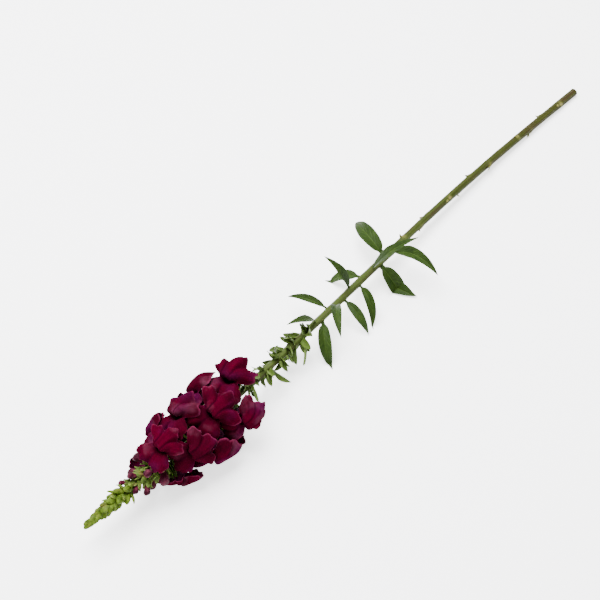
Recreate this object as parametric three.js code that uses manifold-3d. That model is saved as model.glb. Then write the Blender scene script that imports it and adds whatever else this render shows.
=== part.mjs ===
// One cut snapdragon stem (Antirrhinum majus), lying on its side.
// Units are millimetres. +Z is up and +X runs from the cut end to the tip of the flower spike. The origin is
// under the middle of the bounding box, on the surface that the stem lies on.
//
// A leafy stem carries, from the cut end to the tip: leaf scars where the lower leaves were stripped,
// lance-shaped leaves, small curled leaves with tufts in their axils, open two-lipped blooms in their
// calyces, coloured buds, and green buds that close up to the tip. Everything green that grows on the stem is
// fused into it, apart from the large leaves. Those, the blooms and the coloured buds are pieces of their
// own, seated with a fine gap.

import * as THREE from "three";
import { mergeVertices } from "three/addons/utils/BufferGeometryUtils.js";
import Module from "manifold-3d";

const wasm = await Module();
wasm.setup();

// ---------------------------------------------------------------- driving dimensions

// first and last are distances back from the tip of the spike. A pair of values is for the first (the lowest
// on the stem) and for the last, and sway is how far a drawn value strays from that. Angles are in degrees.

const STEM = {
  length: 720,
  baseRadius: 4.2,
  upperRadius: 3.2, // where the flowers begin
  tipRadius: 0.7,
  taper: 0.7, // power of the taper from the first flower to the tip
  sides: 8,
  step: 20,
  rootDepth: 0.5, // of what grows from it, as a share of its radius
  riseLength: 640, // from the cut end to where the axis is highest
  headHeight: 32, // of the axis over the surface, there
  sideSway: 5, // of the axis to either side of a straight line
};

const BLOOM = {
  count: 15,
  first: 180,
  spacing: 6.6,
  seed: 207,
  azimuthSway: 3,
  lean: [76, 65], // between a bloom and the stem
  leanSway: 3,
  rollSway: 9,
  scale: [0.968, 0.778],
  scaleSway: 0.03,
  opening: [1.1, 0.3], // how far the lips roll back
  openingSway: 0.15,
  stalk: 7.5,
  petal: 0.9, // thickness
  calyx: 8.5, // height
};

const BUD = {
  count: 11,
  first: 84,
  spacing: 3.5,
  seed: 300,
  azimuthSway: 6,
  lean: [58, 40],
  leanSway: 4,
  length: [19, 8.5],
  radius: [4.3, 2.1],
  stalk: [5.5, 3.5],
  taper: 0.8, // power of the fall in size towards the tip
  sides: 8,
  calyx: 0.55, // height, as a share of the bud's length
  hold: 0.8, // radius of the calyx at its notches, as a share of the bud's
};

const GREEN_BUD = {
  count: 26,
  first: 48,
  last: 3,
  seed: 500,
  crowding: 0.9, // powers: how they draw together at the tip, and close up to the stem
  closing: 1.3,
  azimuthSway: 6,
  lean: [46, 12],
  leanSway: 4,
  length: [11, 6.5],
  radius: [2.6, 1.3],
  stalk: 0.3,
  bractsEnd: 24, // nearer to the tip than this the bracts are hidden
};

const LEAF = {
  count: 12,
  first: 408,
  last: 286,
  placeSway: 3,
  seed: 700,
  spiralStart: 20,
  azimuthSway: 12,
  lean: [95, 55],
  leanSway: 18,
  length: [58, 38],
  lengthShare: [0.8, 1.25], // the least and the most, as below
  width: [16, 11],
  widthShare: [0.62, 1.1],
  rise: [0.1, 0.6], // how steeply it starts off upward
  droop: [1, 2],
  twistSway: 45,
  thickness: 0.9,
  floor: 1.2, // lowest height of a leaf's middle surface
};

const SMALL_LEAF = {
  count: 18,
  first: 278,
  last: 186,
  placeSway: 1.5,
  seed: 900,
  spiralStart: 75,
  azimuthSway: 12,
  lean: [72, 40], // the most and the least
  length: [26, 13],
  lengthPower: 0.7, // how fast it falls towards the flowers
  lengthShare: [0.85, 1.15],
  slimness: 0.25,
  curlSway: 0.9,
  tuftBack: 3,
  tuftTurn: 24,
  tuftLean: [20, 48],
  tuftLength: [0.4, 0.65], // as a share of the leaf's
  tuftSlimness: 0.32,
  tuftCurl: 0.5,
};

const SCAR = {
  count: 12,
  first: 690,
  last: 425,
  placeSway: 5,
  seed: 1100,
  spiralStart: 40,
  azimuthSway: 10,
  across: 1.9,
  out: 1.5,
  along: 2.4,
  sunk: 0.5,
};

const GOLDEN_ANGLE = 137.508;
const SPIRAL_START = 104; // turns the whole spiral of blooms and buds about the stem
const BLADE = 0.9; // thickness of the smallest blades
const GAP = 0.35; // kept between pieces that touch on the plant
const PRESS_FROM = 15; // below this height a bloom is pressed by the surface that it lies on
const PRESS_SOFTNESS = 19;
const FLAT_SPOT = 0.6; // how much the lowest points are flattened

// ---------------------------------------------------------------- small helpers

// Seeded draws from 0 to 1 (the mulberry32 generator).
function seeded(seed) {
  let state = seed >>> 0;
  return () => {
    state = (state + 0x6d2b79f5) >>> 0;
    let t = Math.imul(state ^ (state >>> 15), 1 | state);
    t = (t + Math.imul(t ^ (t >>> 7), 61 | t)) ^ t;
    return ((t ^ (t >>> 14)) >>> 0) / 4294967296;
  };
}

const radians = THREE.MathUtils.degToRad;
const lerp = THREE.MathUtils.lerp;
const between = ([first, last], share) => lerp(first, last, share);
const strayed = (draw, sway) => lerp(-sway, sway, draw());
const smoothstep = (low, high, x) => THREE.MathUtils.smoothstep(x, low, high);
const vector = (x, y, z) => new THREE.Vector3(x, y, z);

// A closed geometry as a manifold-3d solid, turned so that its faces point out.
function solid(geometry) {
  const bare = new THREE.BufferGeometry();
  bare.setAttribute("position", geometry.getAttribute("position"));
  bare.setIndex(geometry.index);
  const merged = mergeVertices(bare, 1e-3);
  const vertProperties = new Float32Array(merged.attributes.position.array);
  const triVerts = new Uint32Array(merged.index.array);
  const make = () => new wasm.Manifold(new wasm.Mesh({ numProp: 3, vertProperties, triVerts }));
  const made = make();
  if (made.volume() > 0) return made;
  for (let i = 0; i < triVerts.length; i += 3) {
    [triVerts[i + 1], triVerts[i + 2]] = [triVerts[i + 2], triVerts[i + 1]];
  }
  return make();
}

// The largest body of a solid: a cut can leave loose scraps.
function largestBody(made) {
  const bodies = made.decompose();
  return bodies.reduce((best, body) => (body.volume() > best.volume() ? body : best));
}

// Joins any number of solids in one, in pairs.
function join(solids) {
  let round = solids;
  while (round.length > 1) {
    const next = [];
    for (let i = 0; i < round.length; i += 2) {
      next.push(i + 1 < round.length ? round[i].add(round[i + 1]) : round[i]);
    }
    round = next;
  }
  return round[0];
}

// Moves every vertex of a geometry by a function of its position.
function formed(geometry, move) {
  const position = geometry.getAttribute("position");
  const point = new THREE.Vector3();
  for (let i = 0; i < position.count; i++) {
    point.fromBufferAttribute(position, i);
    move(point);
    position.setXYZ(i, point.x, point.y, point.z);
  }
  return geometry;
}

// ---------------------------------------------------------------- the stem's line

// Height of the axis: the cut end lies on the surface and the blooms hold the head up.
function axisHeight(along) {
  const share = Math.min(1, along / STEM.riseLength);
  const rise = (share + Math.sin((Math.PI / 2) * share) ** 2) / 2;
  return lerp(STEM.baseRadius, STEM.headHeight, rise);
}

function axisPoint(along) {
  const side = -STEM.sideSway * Math.sin((2 * Math.PI * along) / STEM.length);
  return vector(along - STEM.length / 2, side, axisHeight(along));
}

// Point, direction towards the tip, and two directions across, the second one upward.
function axisFrame(along) {
  const tangent = axisPoint(along + 1).sub(axisPoint(along - 1)).normalize();
  const across = vector(0, 0, 1).cross(tangent).normalize();
  const over = tangent.clone().cross(across);
  return { point: axisPoint(along), tangent, across, over };
}

function stemRadius(along) {
  const back = STEM.length - along;
  if (back > BLOOM.first) {
    const share = (back - BLOOM.first) / (STEM.length - BLOOM.first);
    return lerp(STEM.upperRadius, STEM.baseRadius, share);
  }
  return lerp(STEM.tipRadius, STEM.upperRadius, (Math.max(0, back) / BLOOM.first) ** STEM.taper);
}

// Where something grows from the stem: its base point and its own axes. azimuth turns about the stem from
// the +Y side over the top, and lean is the angle between the piece and the stem's direction.
function seat(back, azimuth, lean, reach) {
  const along = STEM.length - back;
  const frame = axisFrame(along);
  const turn = radians(azimuth);
  const outward = frame.across
    .clone()
    .multiplyScalar(Math.cos(turn))
    .addScaledVector(frame.over, Math.sin(turn));
  const angle = radians(lean);
  const forward = frame.tangent
    .clone()
    .multiplyScalar(Math.cos(angle))
    .addScaledVector(outward, Math.sin(angle));
  const up = frame.tangent
    .clone()
    .multiplyScalar(Math.sin(angle))
    .addScaledVector(outward, -Math.cos(angle));
  const side = up.clone().cross(forward);
  const foot = frame.point.clone().addScaledVector(outward, stemRadius(along) * STEM.rootDepth);
  const base = foot.clone().addScaledVector(forward, reach);
  return { base, side, up, forward, outward, foot };
}

// A point on the stem's faceted surface at a seat's azimuth, moved outward.
function besideStem(back, azimuth, at, out) {
  const along = STEM.length - back;
  const facet = 360 / STEM.sides;
  const turn = THREE.MathUtils.euclideanModulo(azimuth, facet) - facet / 2;
  const surface = (stemRadius(along) * Math.cos(radians(facet / 2))) / Math.cos(radians(turn));
  return axisPoint(along).addScaledVector(at.outward, surface + out);
}

// A point given in a seat's own axes.
function placed(at, x, y, z) {
  return at.base
    .clone()
    .addScaledVector(at.side, x)
    .addScaledVector(at.up, y)
    .addScaledVector(at.forward, z);
}

// A point after the surface has pressed on it: untouched above PRESS_FROM, and squeezed more the lower it is.
function pressed(point) {
  const depth = PRESS_FROM - point.z;
  if (depth > 0) point.z = PRESS_FROM - depth / Math.hypot(1, depth / PRESS_SOFTNESS);
  return point;
}

// ---------------------------------------------------------------- closed shells from rings of points

// A geometry from vertices and quads, each quad split the same way.
class Builder {
  constructor() {
    this.points = [];
    this.faces = [];
  }
  add(point) {
    return this.points.push(point) - 1;
  }
  ring(points) {
    return points.map((point) => this.add(point));
  }
  quad(a, b, c, d) {
    this.faces.push([a, b, c], [a, c, d]);
  }
  // A band between two rings. flip turns the faces round and keeps the same diagonals.
  band(low, high, flip) {
    const count = low.length;
    for (let i = 0; i < count; i++) {
      const j = (i + 1) % count;
      const faces = [
        [low[i], low[j], high[j]],
        [low[i], high[j], high[i]],
      ];
      for (const [a, b, c] of faces) this.faces.push(flip ? [a, c, b] : [a, b, c]);
    }
  }
  // Closes a ring of points by a fan about their middle.
  cap(points, ring, flip) {
    const sum = points.reduce((total, point) => total.add(point), vector(0, 0, 0));
    const centre = this.add(sum.multiplyScalar(1 / points.length));
    for (let i = 0; i < ring.length; i++) {
      const [b, c] = [ring[i], ring[(i + 1) % ring.length]];
      this.faces.push(flip ? [centre, c, b] : [centre, b, c]);
    }
  }
  geometry() {
    const made = new THREE.BufferGeometry();
    const places = this.points.flatMap((point) => point.toArray());
    made.setAttribute("position", new THREE.Float32BufferAttribute(places, 3));
    return made.setIndex(this.faces.flat());
  }
}

// The outward normals of a surface given as rings, by the differences between neighbours.
function ringNormals(rings) {
  const last = rings.length - 1;
  return rings.map((ring, j) => {
    const below = rings[Math.max(0, j - 1)];
    const above = rings[Math.min(last, j + 1)];
    return ring.map((_, i) => {
      const count = ring.length;
      const round = ring[(i + 1) % count].clone().sub(ring[(i + count - 1) % count]);
      return round.cross(above[i].clone().sub(below[i])).normalize();
    });
  });
}

// A thick shell about a surface given as rings from its closed base to its open rim. Below the ring
// numbered hollowFrom it is solid.
function shell(rings, thickness, hollowFrom) {
  const normals = ringNormals(rings);
  const offset = (share) =>
    rings.map((ring, j) => ring.map((p, i) => p.clone().addScaledVector(normals[j][i], share * thickness)));
  const outer = offset(0.5);
  const inner = offset(-0.5);
  const last = rings.length - 1;
  const builder = new Builder();
  const out = outer.map((ring) => builder.ring(ring));
  const into = inner.map((ring, j) => (j < hollowFrom ? null : builder.ring(ring)));
  builder.cap(outer[0], out[0], true);
  for (let j = 0; j < last; j++) {
    builder.band(out[j], out[j + 1], false);
    if (j >= hollowFrom) builder.band(into[j], into[j + 1], true);
  }
  builder.band(out[last], into[last], false);
  builder.cap(inner[hollowFrom], into[hollowFrom], false);
  return builder.geometry();
}

// A solid through rings of points, closed at each end.
function loft(rings) {
  const last = rings.length - 1;
  const builder = new Builder();
  const made = rings.map((ring) => builder.ring(ring));
  builder.cap(rings[0], made[0], true);
  for (let j = 0; j < last; j++) builder.band(made[j], made[j + 1], false);
  builder.cap(rings[last], made[last], false);
  return builder.geometry();
}

// ---------------------------------------------------------------- blooms

// A bloom's own axes: x to its side, y to its upper lip, and z ahead, out of its calyx. Its tube starts from
// a closed foot and widens to the mouth, where the two lips begin.
const TUBE = { foot: 0.6, neck: 4, neckAhead: 5.6 };
const MOUTH = { across: 6, above: 5.6, below: 5.2, lift: 0.2, ahead: 16.5, corner: 8 };
const RING_SHARES = [2 / 6, 3 / 6, 4 / 6, 1]; // of the four rings of the lips, from the mouth to the rim
const SEAM = { from: 0.66, out: 4.6, ahead: 4, sag: 2.6 }; // where the lips meet at the mouth's corners

// Columns of points across a lip, from one corner of the mouth (1) to the other (-1). The upper lip stands up
// in two lobes.
const UPPER_LIP = {
  columns: [1, 0.78, 0.52, 0.24, 0, -0.24, -0.52, -0.78],
  fan: 76, // degrees that it spreads to either side
  fanPower: 0.9,
  reach: 14.8,
  cleft: 0.4, // how far up the notch between its lobes reaches
  roundness: [0.55, 0.62], // powers of a lobe's inner and outer side: the less, the rounder
  lift: 0.4,
  rings: [
    { radius: 7.3, reach: 0.18, ahead: 22, side: 3, open: 0, curl: 0, spread: 0.6 },
    { radius: 7.5, reach: 0.45, ahead: 23.6, side: 3.5, open: 0.5, curl: 0, spread: 0.85 },
    { radius: 7.5, reach: 0.7, ahead: 23.2, side: 3.5, open: 1.7, curl: 0, spread: 1 },
    { radius: 7.5, reach: 1, ahead: 18.6, side: 2.6, open: 4.8, curl: 2, spread: 1 },
  ],
};

// The lower lip is a puffed palate, swollen on either side of its middle, that folds down to three lobes.
const LOWER_LIP = {
  columns: [-1, -0.8, -0.58, -0.33, -0.13, 0.13, 0.33, 0.58, 0.8],
  fan: 92,
  fanPower: 0.95,
  reach: 13.5,
  cleft: 0.5,
  middleHalf: 0.34, // half the width of the middle lobe, as a share of the lip's
  middleReach: 0.92,
  middleRoundness: 0.55,
  sideFrom: 0.3, // where a side lobe starts, as a share of the way to the lip's side
  sideMiddle: 0.65,
  sideRoundness: 0.6,
  swellingAt: 0.38, // of the palate, to either side of its middle
  swellingWidth: 0.22,
  crease: 0.6, // power of the palate's fall to its sides
  palate: [
    { half: 7, arch: 2.4, base: 0.3, puff: 1.2, ahead: 22.6, swell: 0, side: 4.2 },
    { half: 9, arch: 0.9, base: 0.4, puff: 1.5, ahead: 28, swell: 1.6, side: 8 },
  ],
  fold: { radius: 6.4, reach: 0.22, wide: 1.15, flat: 0.85, drop: 0.2 },
  foldAhead: { middle: 28.6, swell: 0.9, side: 8.6, open: 0.4 },
  rim: { radius: 7, ahead: 22.4, side: 4, open: 4.6, curl: 2 },
};

const sinePower = (x, power) => Math.max(0, Math.sin(Math.PI * THREE.MathUtils.clamp(x, 0, 1))) ** power;

// Points of the upper lip's column p, from the throat to the rim.
function upperColumn(p, opening) {
  const a = Math.abs(p);
  const throat = radians(90 - p * (90 - MOUTH.corner));
  const fan = radians(90 - Math.sign(p) * a ** UPPER_LIP.fanPower * UPPER_LIP.fan);
  const [inner, outer] = UPPER_LIP.roundness;
  const lobe = a < 0.5 ? lerp(UPPER_LIP.cleft, 1, sinePower(a, inner)) : sinePower(a, outer);
  const curl = ((a - 0.5) / 0.5) ** 2;
  const points = UPPER_LIP.rings.map((ring) => {
    const radius = ring.radius + ring.reach * UPPER_LIP.reach * lobe;
    const angle = lerp(throat, fan, ring.spread);
    const ahead = ring.ahead - ring.side * a * a - ring.open * opening - ring.curl * curl;
    return [radius * Math.cos(angle), radius * Math.sin(angle) + UPPER_LIP.lift, ahead];
  });
  return { throat, points };
}

// How far the lower lip reaches at a share a of the way from its middle to its side.
function lowerReach(a) {
  const { cleft, middleHalf, middleReach, middleRoundness, sideFrom, sideRoundness, reach } = LOWER_LIP;
  const side = sinePower((a - sideFrom) / (1 - sideFrom), sideRoundness);
  const middle = Math.max(0, Math.cos((Math.PI / 2) * Math.min(1, a / middleHalf))) ** middleRoundness;
  const lobe = Math.max(side, middleReach * middle);
  return reach * (a < LOWER_LIP.sideMiddle ? Math.max(lobe, cleft) : lobe);
}

// Points of the lower lip's column q: over the palate and down to the rim of the three lobes.
function lowerColumn(q, opening) {
  const a = Math.abs(q);
  const throat = radians(270 + q * (90 + MOUTH.corner));
  const { sideMiddle, sideFrom } = LOWER_LIP;
  const fan = radians(270 + Math.sign(q) * a ** LOWER_LIP.fanPower * LOWER_LIP.fan);
  const reach = lowerReach(a);
  const curl = a < sideFrom ? (a / sideFrom) ** 2 : ((a - sideMiddle) / (1 - sideMiddle)) ** 2;
  const middle = Math.max(0, Math.cos(radians(90 * q))) ** LOWER_LIP.crease;
  const bump = Math.exp(-(((a - LOWER_LIP.swellingAt) / LOWER_LIP.swellingWidth) ** 2));
  const points = LOWER_LIP.palate.map((ring) => [
    ring.half * Math.sin(radians(90 * q)),
    ring.arch * middle + ring.base + ring.puff * bump,
    ring.ahead + ring.swell * bump - ring.side * (1 - middle),
  ]);
  const { fold, foldAhead, rim } = LOWER_LIP;
  const bend = fold.radius + fold.reach * reach;
  points.push([
    bend * Math.cos(fan) * fold.wide,
    Math.min(bend * Math.sin(fan), 0) * fold.flat - fold.drop,
    foldAhead.middle + foldAhead.swell * bump - foldAhead.side * (1 - middle) - foldAhead.open * opening,
  ]);
  const edge = rim.radius + reach;
  const ahead = rim.ahead - rim.side * (1 - middle) - rim.open * opening - rim.curl * curl;
  points.push([edge * Math.cos(fan), edge * Math.sin(fan), ahead]);
  return { throat, points };
}

// The rings of one bloom, in its own axes: three of the tube and four of the lips.
function bloomRings(opening) {
  const columns = [
    ...UPPER_LIP.columns.map((p) => ({ ...upperColumn(p, opening), edge: Math.abs(p) })),
    ...LOWER_LIP.columns.map((q) => ({ ...lowerColumn(q, opening), edge: Math.abs(q) })),
  ];
  const round = (radius, ahead) =>
    columns.map(({ throat }) => vector(radius * Math.cos(throat), radius * Math.sin(throat), ahead));
  const mouth = columns.map(({ throat }) => {
    const high = Math.sin(throat) > 0 ? MOUTH.above : MOUTH.below;
    return vector(MOUTH.across * Math.cos(throat), high * Math.sin(throat) + MOUTH.lift, MOUTH.ahead);
  });
  const lips = RING_SHARES.map((f, j) =>
    columns.map(({ points, edge }, i) => {
      const out = vector(mouth[i].x, mouth[i].y, 0).normalize();
      const seam = mouth[i].clone().addScaledVector(out, SEAM.out * f);
      seam.z += SEAM.ahead * f - SEAM.sag * f * f;
      return vector(...points[j]).lerp(seam, smoothstep(SEAM.from, 1, edge));
    }),
  );
  return [round(TUBE.foot, 0), round(TUBE.neck, TUBE.neckAhead), mouth, ...lips];
}

// Everything that is drawn for bloom number i, from the lowest up: where it sits and how far it has opened.
function bloomTraits(i) {
  const draw = seeded(BLOOM.seed + i);
  const share = i / (BLOOM.count - 1);
  return {
    back: BLOOM.first - BLOOM.spacing * i,
    azimuth: SPIRAL_START + GOLDEN_ANGLE * i + strayed(draw, BLOOM.azimuthSway),
    lean: between(BLOOM.lean, share) + strayed(draw, BLOOM.leanSway),
    roll: strayed(draw, BLOOM.rollSway),
    scale: between(BLOOM.scale, share ** 2) * (1 + strayed(draw, BLOOM.scaleSway)),
    opening: between(BLOOM.opening, share ** 2) + strayed(draw, BLOOM.openingSway),
  };
}

// Where a bloom and its calyx sit, rolled about their own axis.
function bloomSeat(traits) {
  const at = seat(traits.back, traits.azimuth, traits.lean, BLOOM.stalk);
  const roll = radians(traits.roll);
  const side = at.side.clone().multiplyScalar(Math.cos(roll)).addScaledVector(at.up, Math.sin(roll));
  const up = at.up.clone().multiplyScalar(Math.cos(roll)).addScaledVector(at.side, -Math.sin(roll));
  return { ...at, side, up };
}

function bloom(traits) {
  const at = bloomSeat(traits);
  const lift = BLOOM.petal / 2 + GAP; // of its foot over the floor of the calyx
  const rings = bloomRings(traits.opening).map((ring) =>
    ring.map((point) => {
      const { x, y, z } = point.multiplyScalar(traits.scale);
      return pressed(placed(at, x, y, z + lift));
    }),
  );
  return solid(shell(rings, BLOOM.petal, 2));
}

// ---------------------------------------------------------------- coloured buds

// A closed bud's radius and height, as shares of its own: a narrow tube with a round head.
const BUD_PROFILE = [
  [0, 0],
  [0.12, 0.02],
  [0.66, 0.34],
  [0.8, 0.62],
  [1, 0.84],
  [0.6, 0.97],
  [0, 1],
];

function budTraits(i) {
  const draw = seeded(BUD.seed + i);
  const share = i / (BUD.count - 1);
  return {
    back: BUD.first - BUD.spacing * i,
    azimuth: SPIRAL_START + GOLDEN_ANGLE * (BLOOM.count + i) + strayed(draw, BUD.azimuthSway),
    lean: between(BUD.lean, share) + strayed(draw, BUD.leanSway),
    length: between(BUD.length, share ** BUD.taper),
    radius: between(BUD.radius, share ** BUD.taper),
    stalk: between(BUD.stalk, share),
  };
}

const budSeat = (traits) => seat(traits.back, traits.azimuth, traits.lean, traits.stalk);

// Turns a geometry whose own axis is Y into a seat's axes, pointing forward.
function stood(geometry, at) {
  return formed(geometry, (point) => point.copy(pressed(placed(at, point.x, point.z, point.y))));
}

function bud(traits) {
  const profile = BUD_PROFILE.map(
    ([wide, high]) => new THREE.Vector2(wide * traits.radius, GAP + high * traits.length),
  );
  return solid(stood(new THREE.LatheGeometry(profile, BUD.sides), budSeat(traits)));
}

// ---------------------------------------------------------------- calyces and green buds

const CALYX = {
  lobes: 5,
  notch: 0.38, // how high the notches between the lobes reach, as a share
  wall: 0.9,
  clearance: 1.3, // round a bloom's tube, in gaps
  lobeSpread: 1.36, // of the lobes' points, as a share of the cup's radius
  lobeTip: 0.6, // thickness of a lobe at its point
  stalkRadius: 1.15,
  swelling: 1.2, // of the stalk where it meets the cup
  swellingBack: 2,
  floorBack: 1.2, // of the inside of the cup
};

// A cup of pointed lobes on a short stalk. hold is its radius inside, at the notches between the lobes, and
// height is that of the lobes' points.
function calyx(at, hold, height, stalk) {
  const notch = CALYX.notch * height;
  const profile = [
    [0, -stalk],
    [CALYX.stalkRadius, -stalk],
    [CALYX.stalkRadius * CALYX.swelling, -CALYX.swellingBack],
    [hold + CALYX.wall, notch],
    [hold, notch],
    [0, -CALYX.floorBack],
  ].map(([wide, high]) => new THREE.Vector2(wide, high));
  const cup = formed(new THREE.LatheGeometry(profile, 2 * CALYX.lobes), (p) => {
    const column = Math.round((Math.atan2(p.x, p.z) / Math.PI) * CALYX.lobes);
    if (p.y < notch - 0.01 || column % 2 !== 0) return;
    const wide = Math.hypot(p.x, p.z);
    const outside = wide > hold + CALYX.wall / 2;
    const tip = hold * CALYX.lobeSpread + (outside ? CALYX.lobeTip : 0);
    p.set((p.x * tip) / wide, height, (p.z * tip) / wide);
  });
  return solid(stood(cup, at));
}

function bloomCalyx(traits) {
  const hold = TUBE.neck * traits.scale + BLOOM.petal / 2 + CALYX.clearance * GAP;
  return calyx(bloomSeat(traits), hold, BLOOM.calyx * traits.scale, BLOOM.stalk);
}

function budCalyx(traits) {
  const hold = BUD.hold * traits.radius + GAP;
  return calyx(budSeat(traits), hold, BUD.calyx * traits.length, traits.stalk);
}

// Along a small blade: share of its length, share of its width.
const BLADELET_STATIONS = [
  [0, 0.5],
  [0.45, 1],
  [1, 0.1],
];
const BLADELET_BEND = 0.35; // of its tip, as a share of its length
const BLADELET_EDGE = 0.6; // least share of its thickness

// A small pointed blade of diamond section, from a base point along a direction that curls towards bend.
function bladelet(base, direction, bend, length, width) {
  const flat = direction.clone().cross(bend).normalize();
  const over = flat.clone().cross(direction).normalize();
  const rings = BLADELET_STATIONS.map(([share, wide]) => {
    const centre = base
      .clone()
      .addScaledVector(direction, length * share)
      .addScaledVector(bend, length * BLADELET_BEND * share * share);
    const half = 0.5 * width * wide;
    const deep = 0.5 * BLADE * Math.max(wide, BLADELET_EDGE);
    const corner = (u, v) => centre.clone().addScaledVector(flat, u).addScaledVector(over, v);
    return [corner(half, 0), corner(0, deep), corner(-half, 0), corner(0, -deep)].map(pressed);
  });
  return solid(loft(rings));
}

function greenBudTraits(i) {
  const draw = seeded(GREEN_BUD.seed + i);
  const share = i / (GREEN_BUD.count - 1);
  const turns = BLOOM.count + BUD.count + i;
  return {
    back: lerp(GREEN_BUD.first, GREEN_BUD.last, share ** GREEN_BUD.crowding),
    azimuth: SPIRAL_START + GOLDEN_ANGLE * turns + strayed(draw, GREEN_BUD.azimuthSway),
    lean: between(GREEN_BUD.lean, share ** GREEN_BUD.closing) + strayed(draw, GREEN_BUD.leanSway),
    length: between(GREEN_BUD.length, share),
    radius: between(GREEN_BUD.radius, share),
  };
}

const BRACT = { back: 1.5, lean: 24, curl: 0.6, length: 0.75, width: 1.5 }; // against its own green bud

// A closed green bud: a pointed egg, and under it the small bract that it grew from. The bracts of the
// youngest buds are hidden among them.
function greenBud(traits) {
  const at = seat(traits.back, traits.azimuth, traits.lean, GREEN_BUD.stalk);
  const egg = formed(new THREE.SphereGeometry(1, 6, 4), (p) => {
    const high = 0.5 + 0.5 * p.y;
    const wide = traits.radius * (1.1 - 0.35 * high);
    p.copy(placed(at, wide * p.x, wide * p.z, traits.length * high));
  });
  if (traits.back < GREEN_BUD.bractsEnd) return [solid(egg)];
  const under = seat(traits.back + BRACT.back, traits.azimuth, traits.lean + BRACT.lean, 0);
  const bend = under.up.multiplyScalar(BRACT.curl);
  const [length, width] = [BRACT.length * traits.length, BRACT.width * traits.radius];
  return [solid(egg), bladelet(under.foot, under.forward, bend, length, width)];
}

// ---------------------------------------------------------------- leaves

const LEAF_STEPS = 24; // of a leaf's midrib
const LEAF_STATIONS = [0, 0.1, 0.24, 0.4, 0.56, 0.72, 0.87, 1];
const LEAF_FOLD = 0.32; // of the edges over the midrib, as a share of the half width
const LEAF_WAVE = 0.12;
const LEAF_WAVES = 1.6; // along its length
const LEAF_OUTLINE = { stalk: 0.12, tip: 0.05, widestTowardsFoot: 0.8, fullness: 0.9 };
const LEAF_FOOT_TWIST = 0.4; // as a share of the twist at its tip
const LEAF_UPRIGHT = 0.2; // least sideways part of its heading by which it is laid flat

// The line of a leaf's midrib: it starts at the stem, arches over, and bends to lie on the surface that it
// meets.
function midrib(start, direction, { length, rise, droop }) {
  const points = [start.clone()];
  const heading = direction.clone();
  heading.z += rise;
  const step = length / LEAF_STEPS;
  for (let k = 0; k < LEAF_STEPS; k++) {
    heading.z -= droop / LEAF_STEPS;
    heading.normalize();
    const point = points[k];
    if (point.z + heading.z * step < LEAF.floor) heading.z = (LEAF.floor - point.z) / step;
    heading.normalize();
    points.push(point.clone().addScaledVector(heading, step));
  }
  return points;
}

// Half width of a lance-shaped leaf, as a share of its widest.
function leafWidth(share) {
  const { stalk, tip, widestTowardsFoot, fullness } = LEAF_OUTLINE;
  const blade = Math.max(0, Math.sin(Math.PI * share ** widestTowardsFoot)) ** fullness;
  return Math.max(stalk * (1 - share), blade, tip);
}

// One row across a leaf: its two edges and its midrib, and the direction over it.
function leafRow(traits, at, line, share) {
  const k = Math.min(LEAF_STEPS - 1, Math.round(share * LEAF_STEPS));
  const point = line[Math.round(share * LEAF_STEPS)];
  const heading = line[k + 1].clone().sub(line[k]).normalize();
  const across = heading.clone().cross(vector(0, 0, 1));
  if (across.length() < LEAF_UPRIGHT) across.copy(at.side);
  across.normalize().applyAxisAngle(heading, radians(traits.twist) * lerp(LEAF_FOOT_TWIST, 1, share));
  const over = across.clone().cross(heading).normalize();
  const half = 0.5 * traits.width * leafWidth(share);
  const wave = LEAF_WAVE * half * Math.sin(2 * Math.PI * (LEAF_WAVES * share + traits.phase));
  const edge = (sign) =>
    point
      .clone()
      .addScaledVector(across, sign * half)
      .addScaledVector(over, LEAF_FOLD * half + sign * wave);
  const row = [edge(-1), point.clone(), edge(1)];
  for (const p of row) p.z = Math.max(p.z, LEAF.floor);
  return { row, over };
}

// The rows of a leaf whose midrib starts at a distance out from the stem's surface.
function leafRows(traits, at, out) {
  const start = besideStem(traits.back, traits.azimuth, at, out);
  const line = midrib(start, at.forward, traits);
  return LEAF_STATIONS.map((share) => leafRow(traits, at, line, share));
}

// How far the corners of a leaf's foot reach in from the middle of its foot, towards the stem.
function footReach({ row, over }, at) {
  const corners = [row[0], row[2]].flatMap((p) =>
    [1, -1].map((sign) => p.clone().addScaledVector(over, (sign * LEAF.thickness) / 2)),
  );
  return Math.max(...corners.map((corner) => row[1].clone().sub(corner).dot(at.outward)));
}

// A leaf: a thin folded and waved blade about its midrib, both faces split into the same triangles. The
// nearest corner of its foot lies GAP away from the stem.
function leaf(traits) {
  const at = seat(traits.back, traits.azimuth, traits.lean, 0);
  const rows = leafRows(traits, at, GAP + footReach(leafRows(traits, at, 0)[0], at));
  const builder = new Builder();
  const sheet = (lift) =>
    rows.map(({ row, over }) => row.map((p) => builder.add(p.clone().addScaledVector(over, lift))));
  const [top, bottom] = [sheet(LEAF.thickness / 2), sheet(-LEAF.thickness / 2)];
  const last = rows.length - 1;
  for (let j = 0; j < last; j++) {
    for (let i = 0; i < 2; i++) {
      builder.quad(top[j][i], top[j][i + 1], top[j + 1][i + 1], top[j + 1][i]);
      const [a, b, c, d] = [bottom[j][i], bottom[j][i + 1], bottom[j + 1][i + 1], bottom[j + 1][i]];
      builder.faces.push([a, c, b], [a, d, c]);
    }
    builder.quad(bottom[j][0], top[j][0], top[j + 1][0], bottom[j + 1][0]);
    builder.quad(top[j][2], bottom[j][2], bottom[j + 1][2], top[j + 1][2]);
  }
  for (let i = 0; i < 2; i++) {
    builder.quad(bottom[0][i], bottom[0][i + 1], top[0][i + 1], top[0][i]);
    builder.quad(top[last][i], top[last][i + 1], bottom[last][i + 1], bottom[last][i]);
  }
  return solid(builder.geometry());
}

// The azimuths under the stem, and the share of its way into them that a leaf keeps.
const UNDERSIDE = { from: 190, middle: 270, to: 350, kept: 0.15 };

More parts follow.
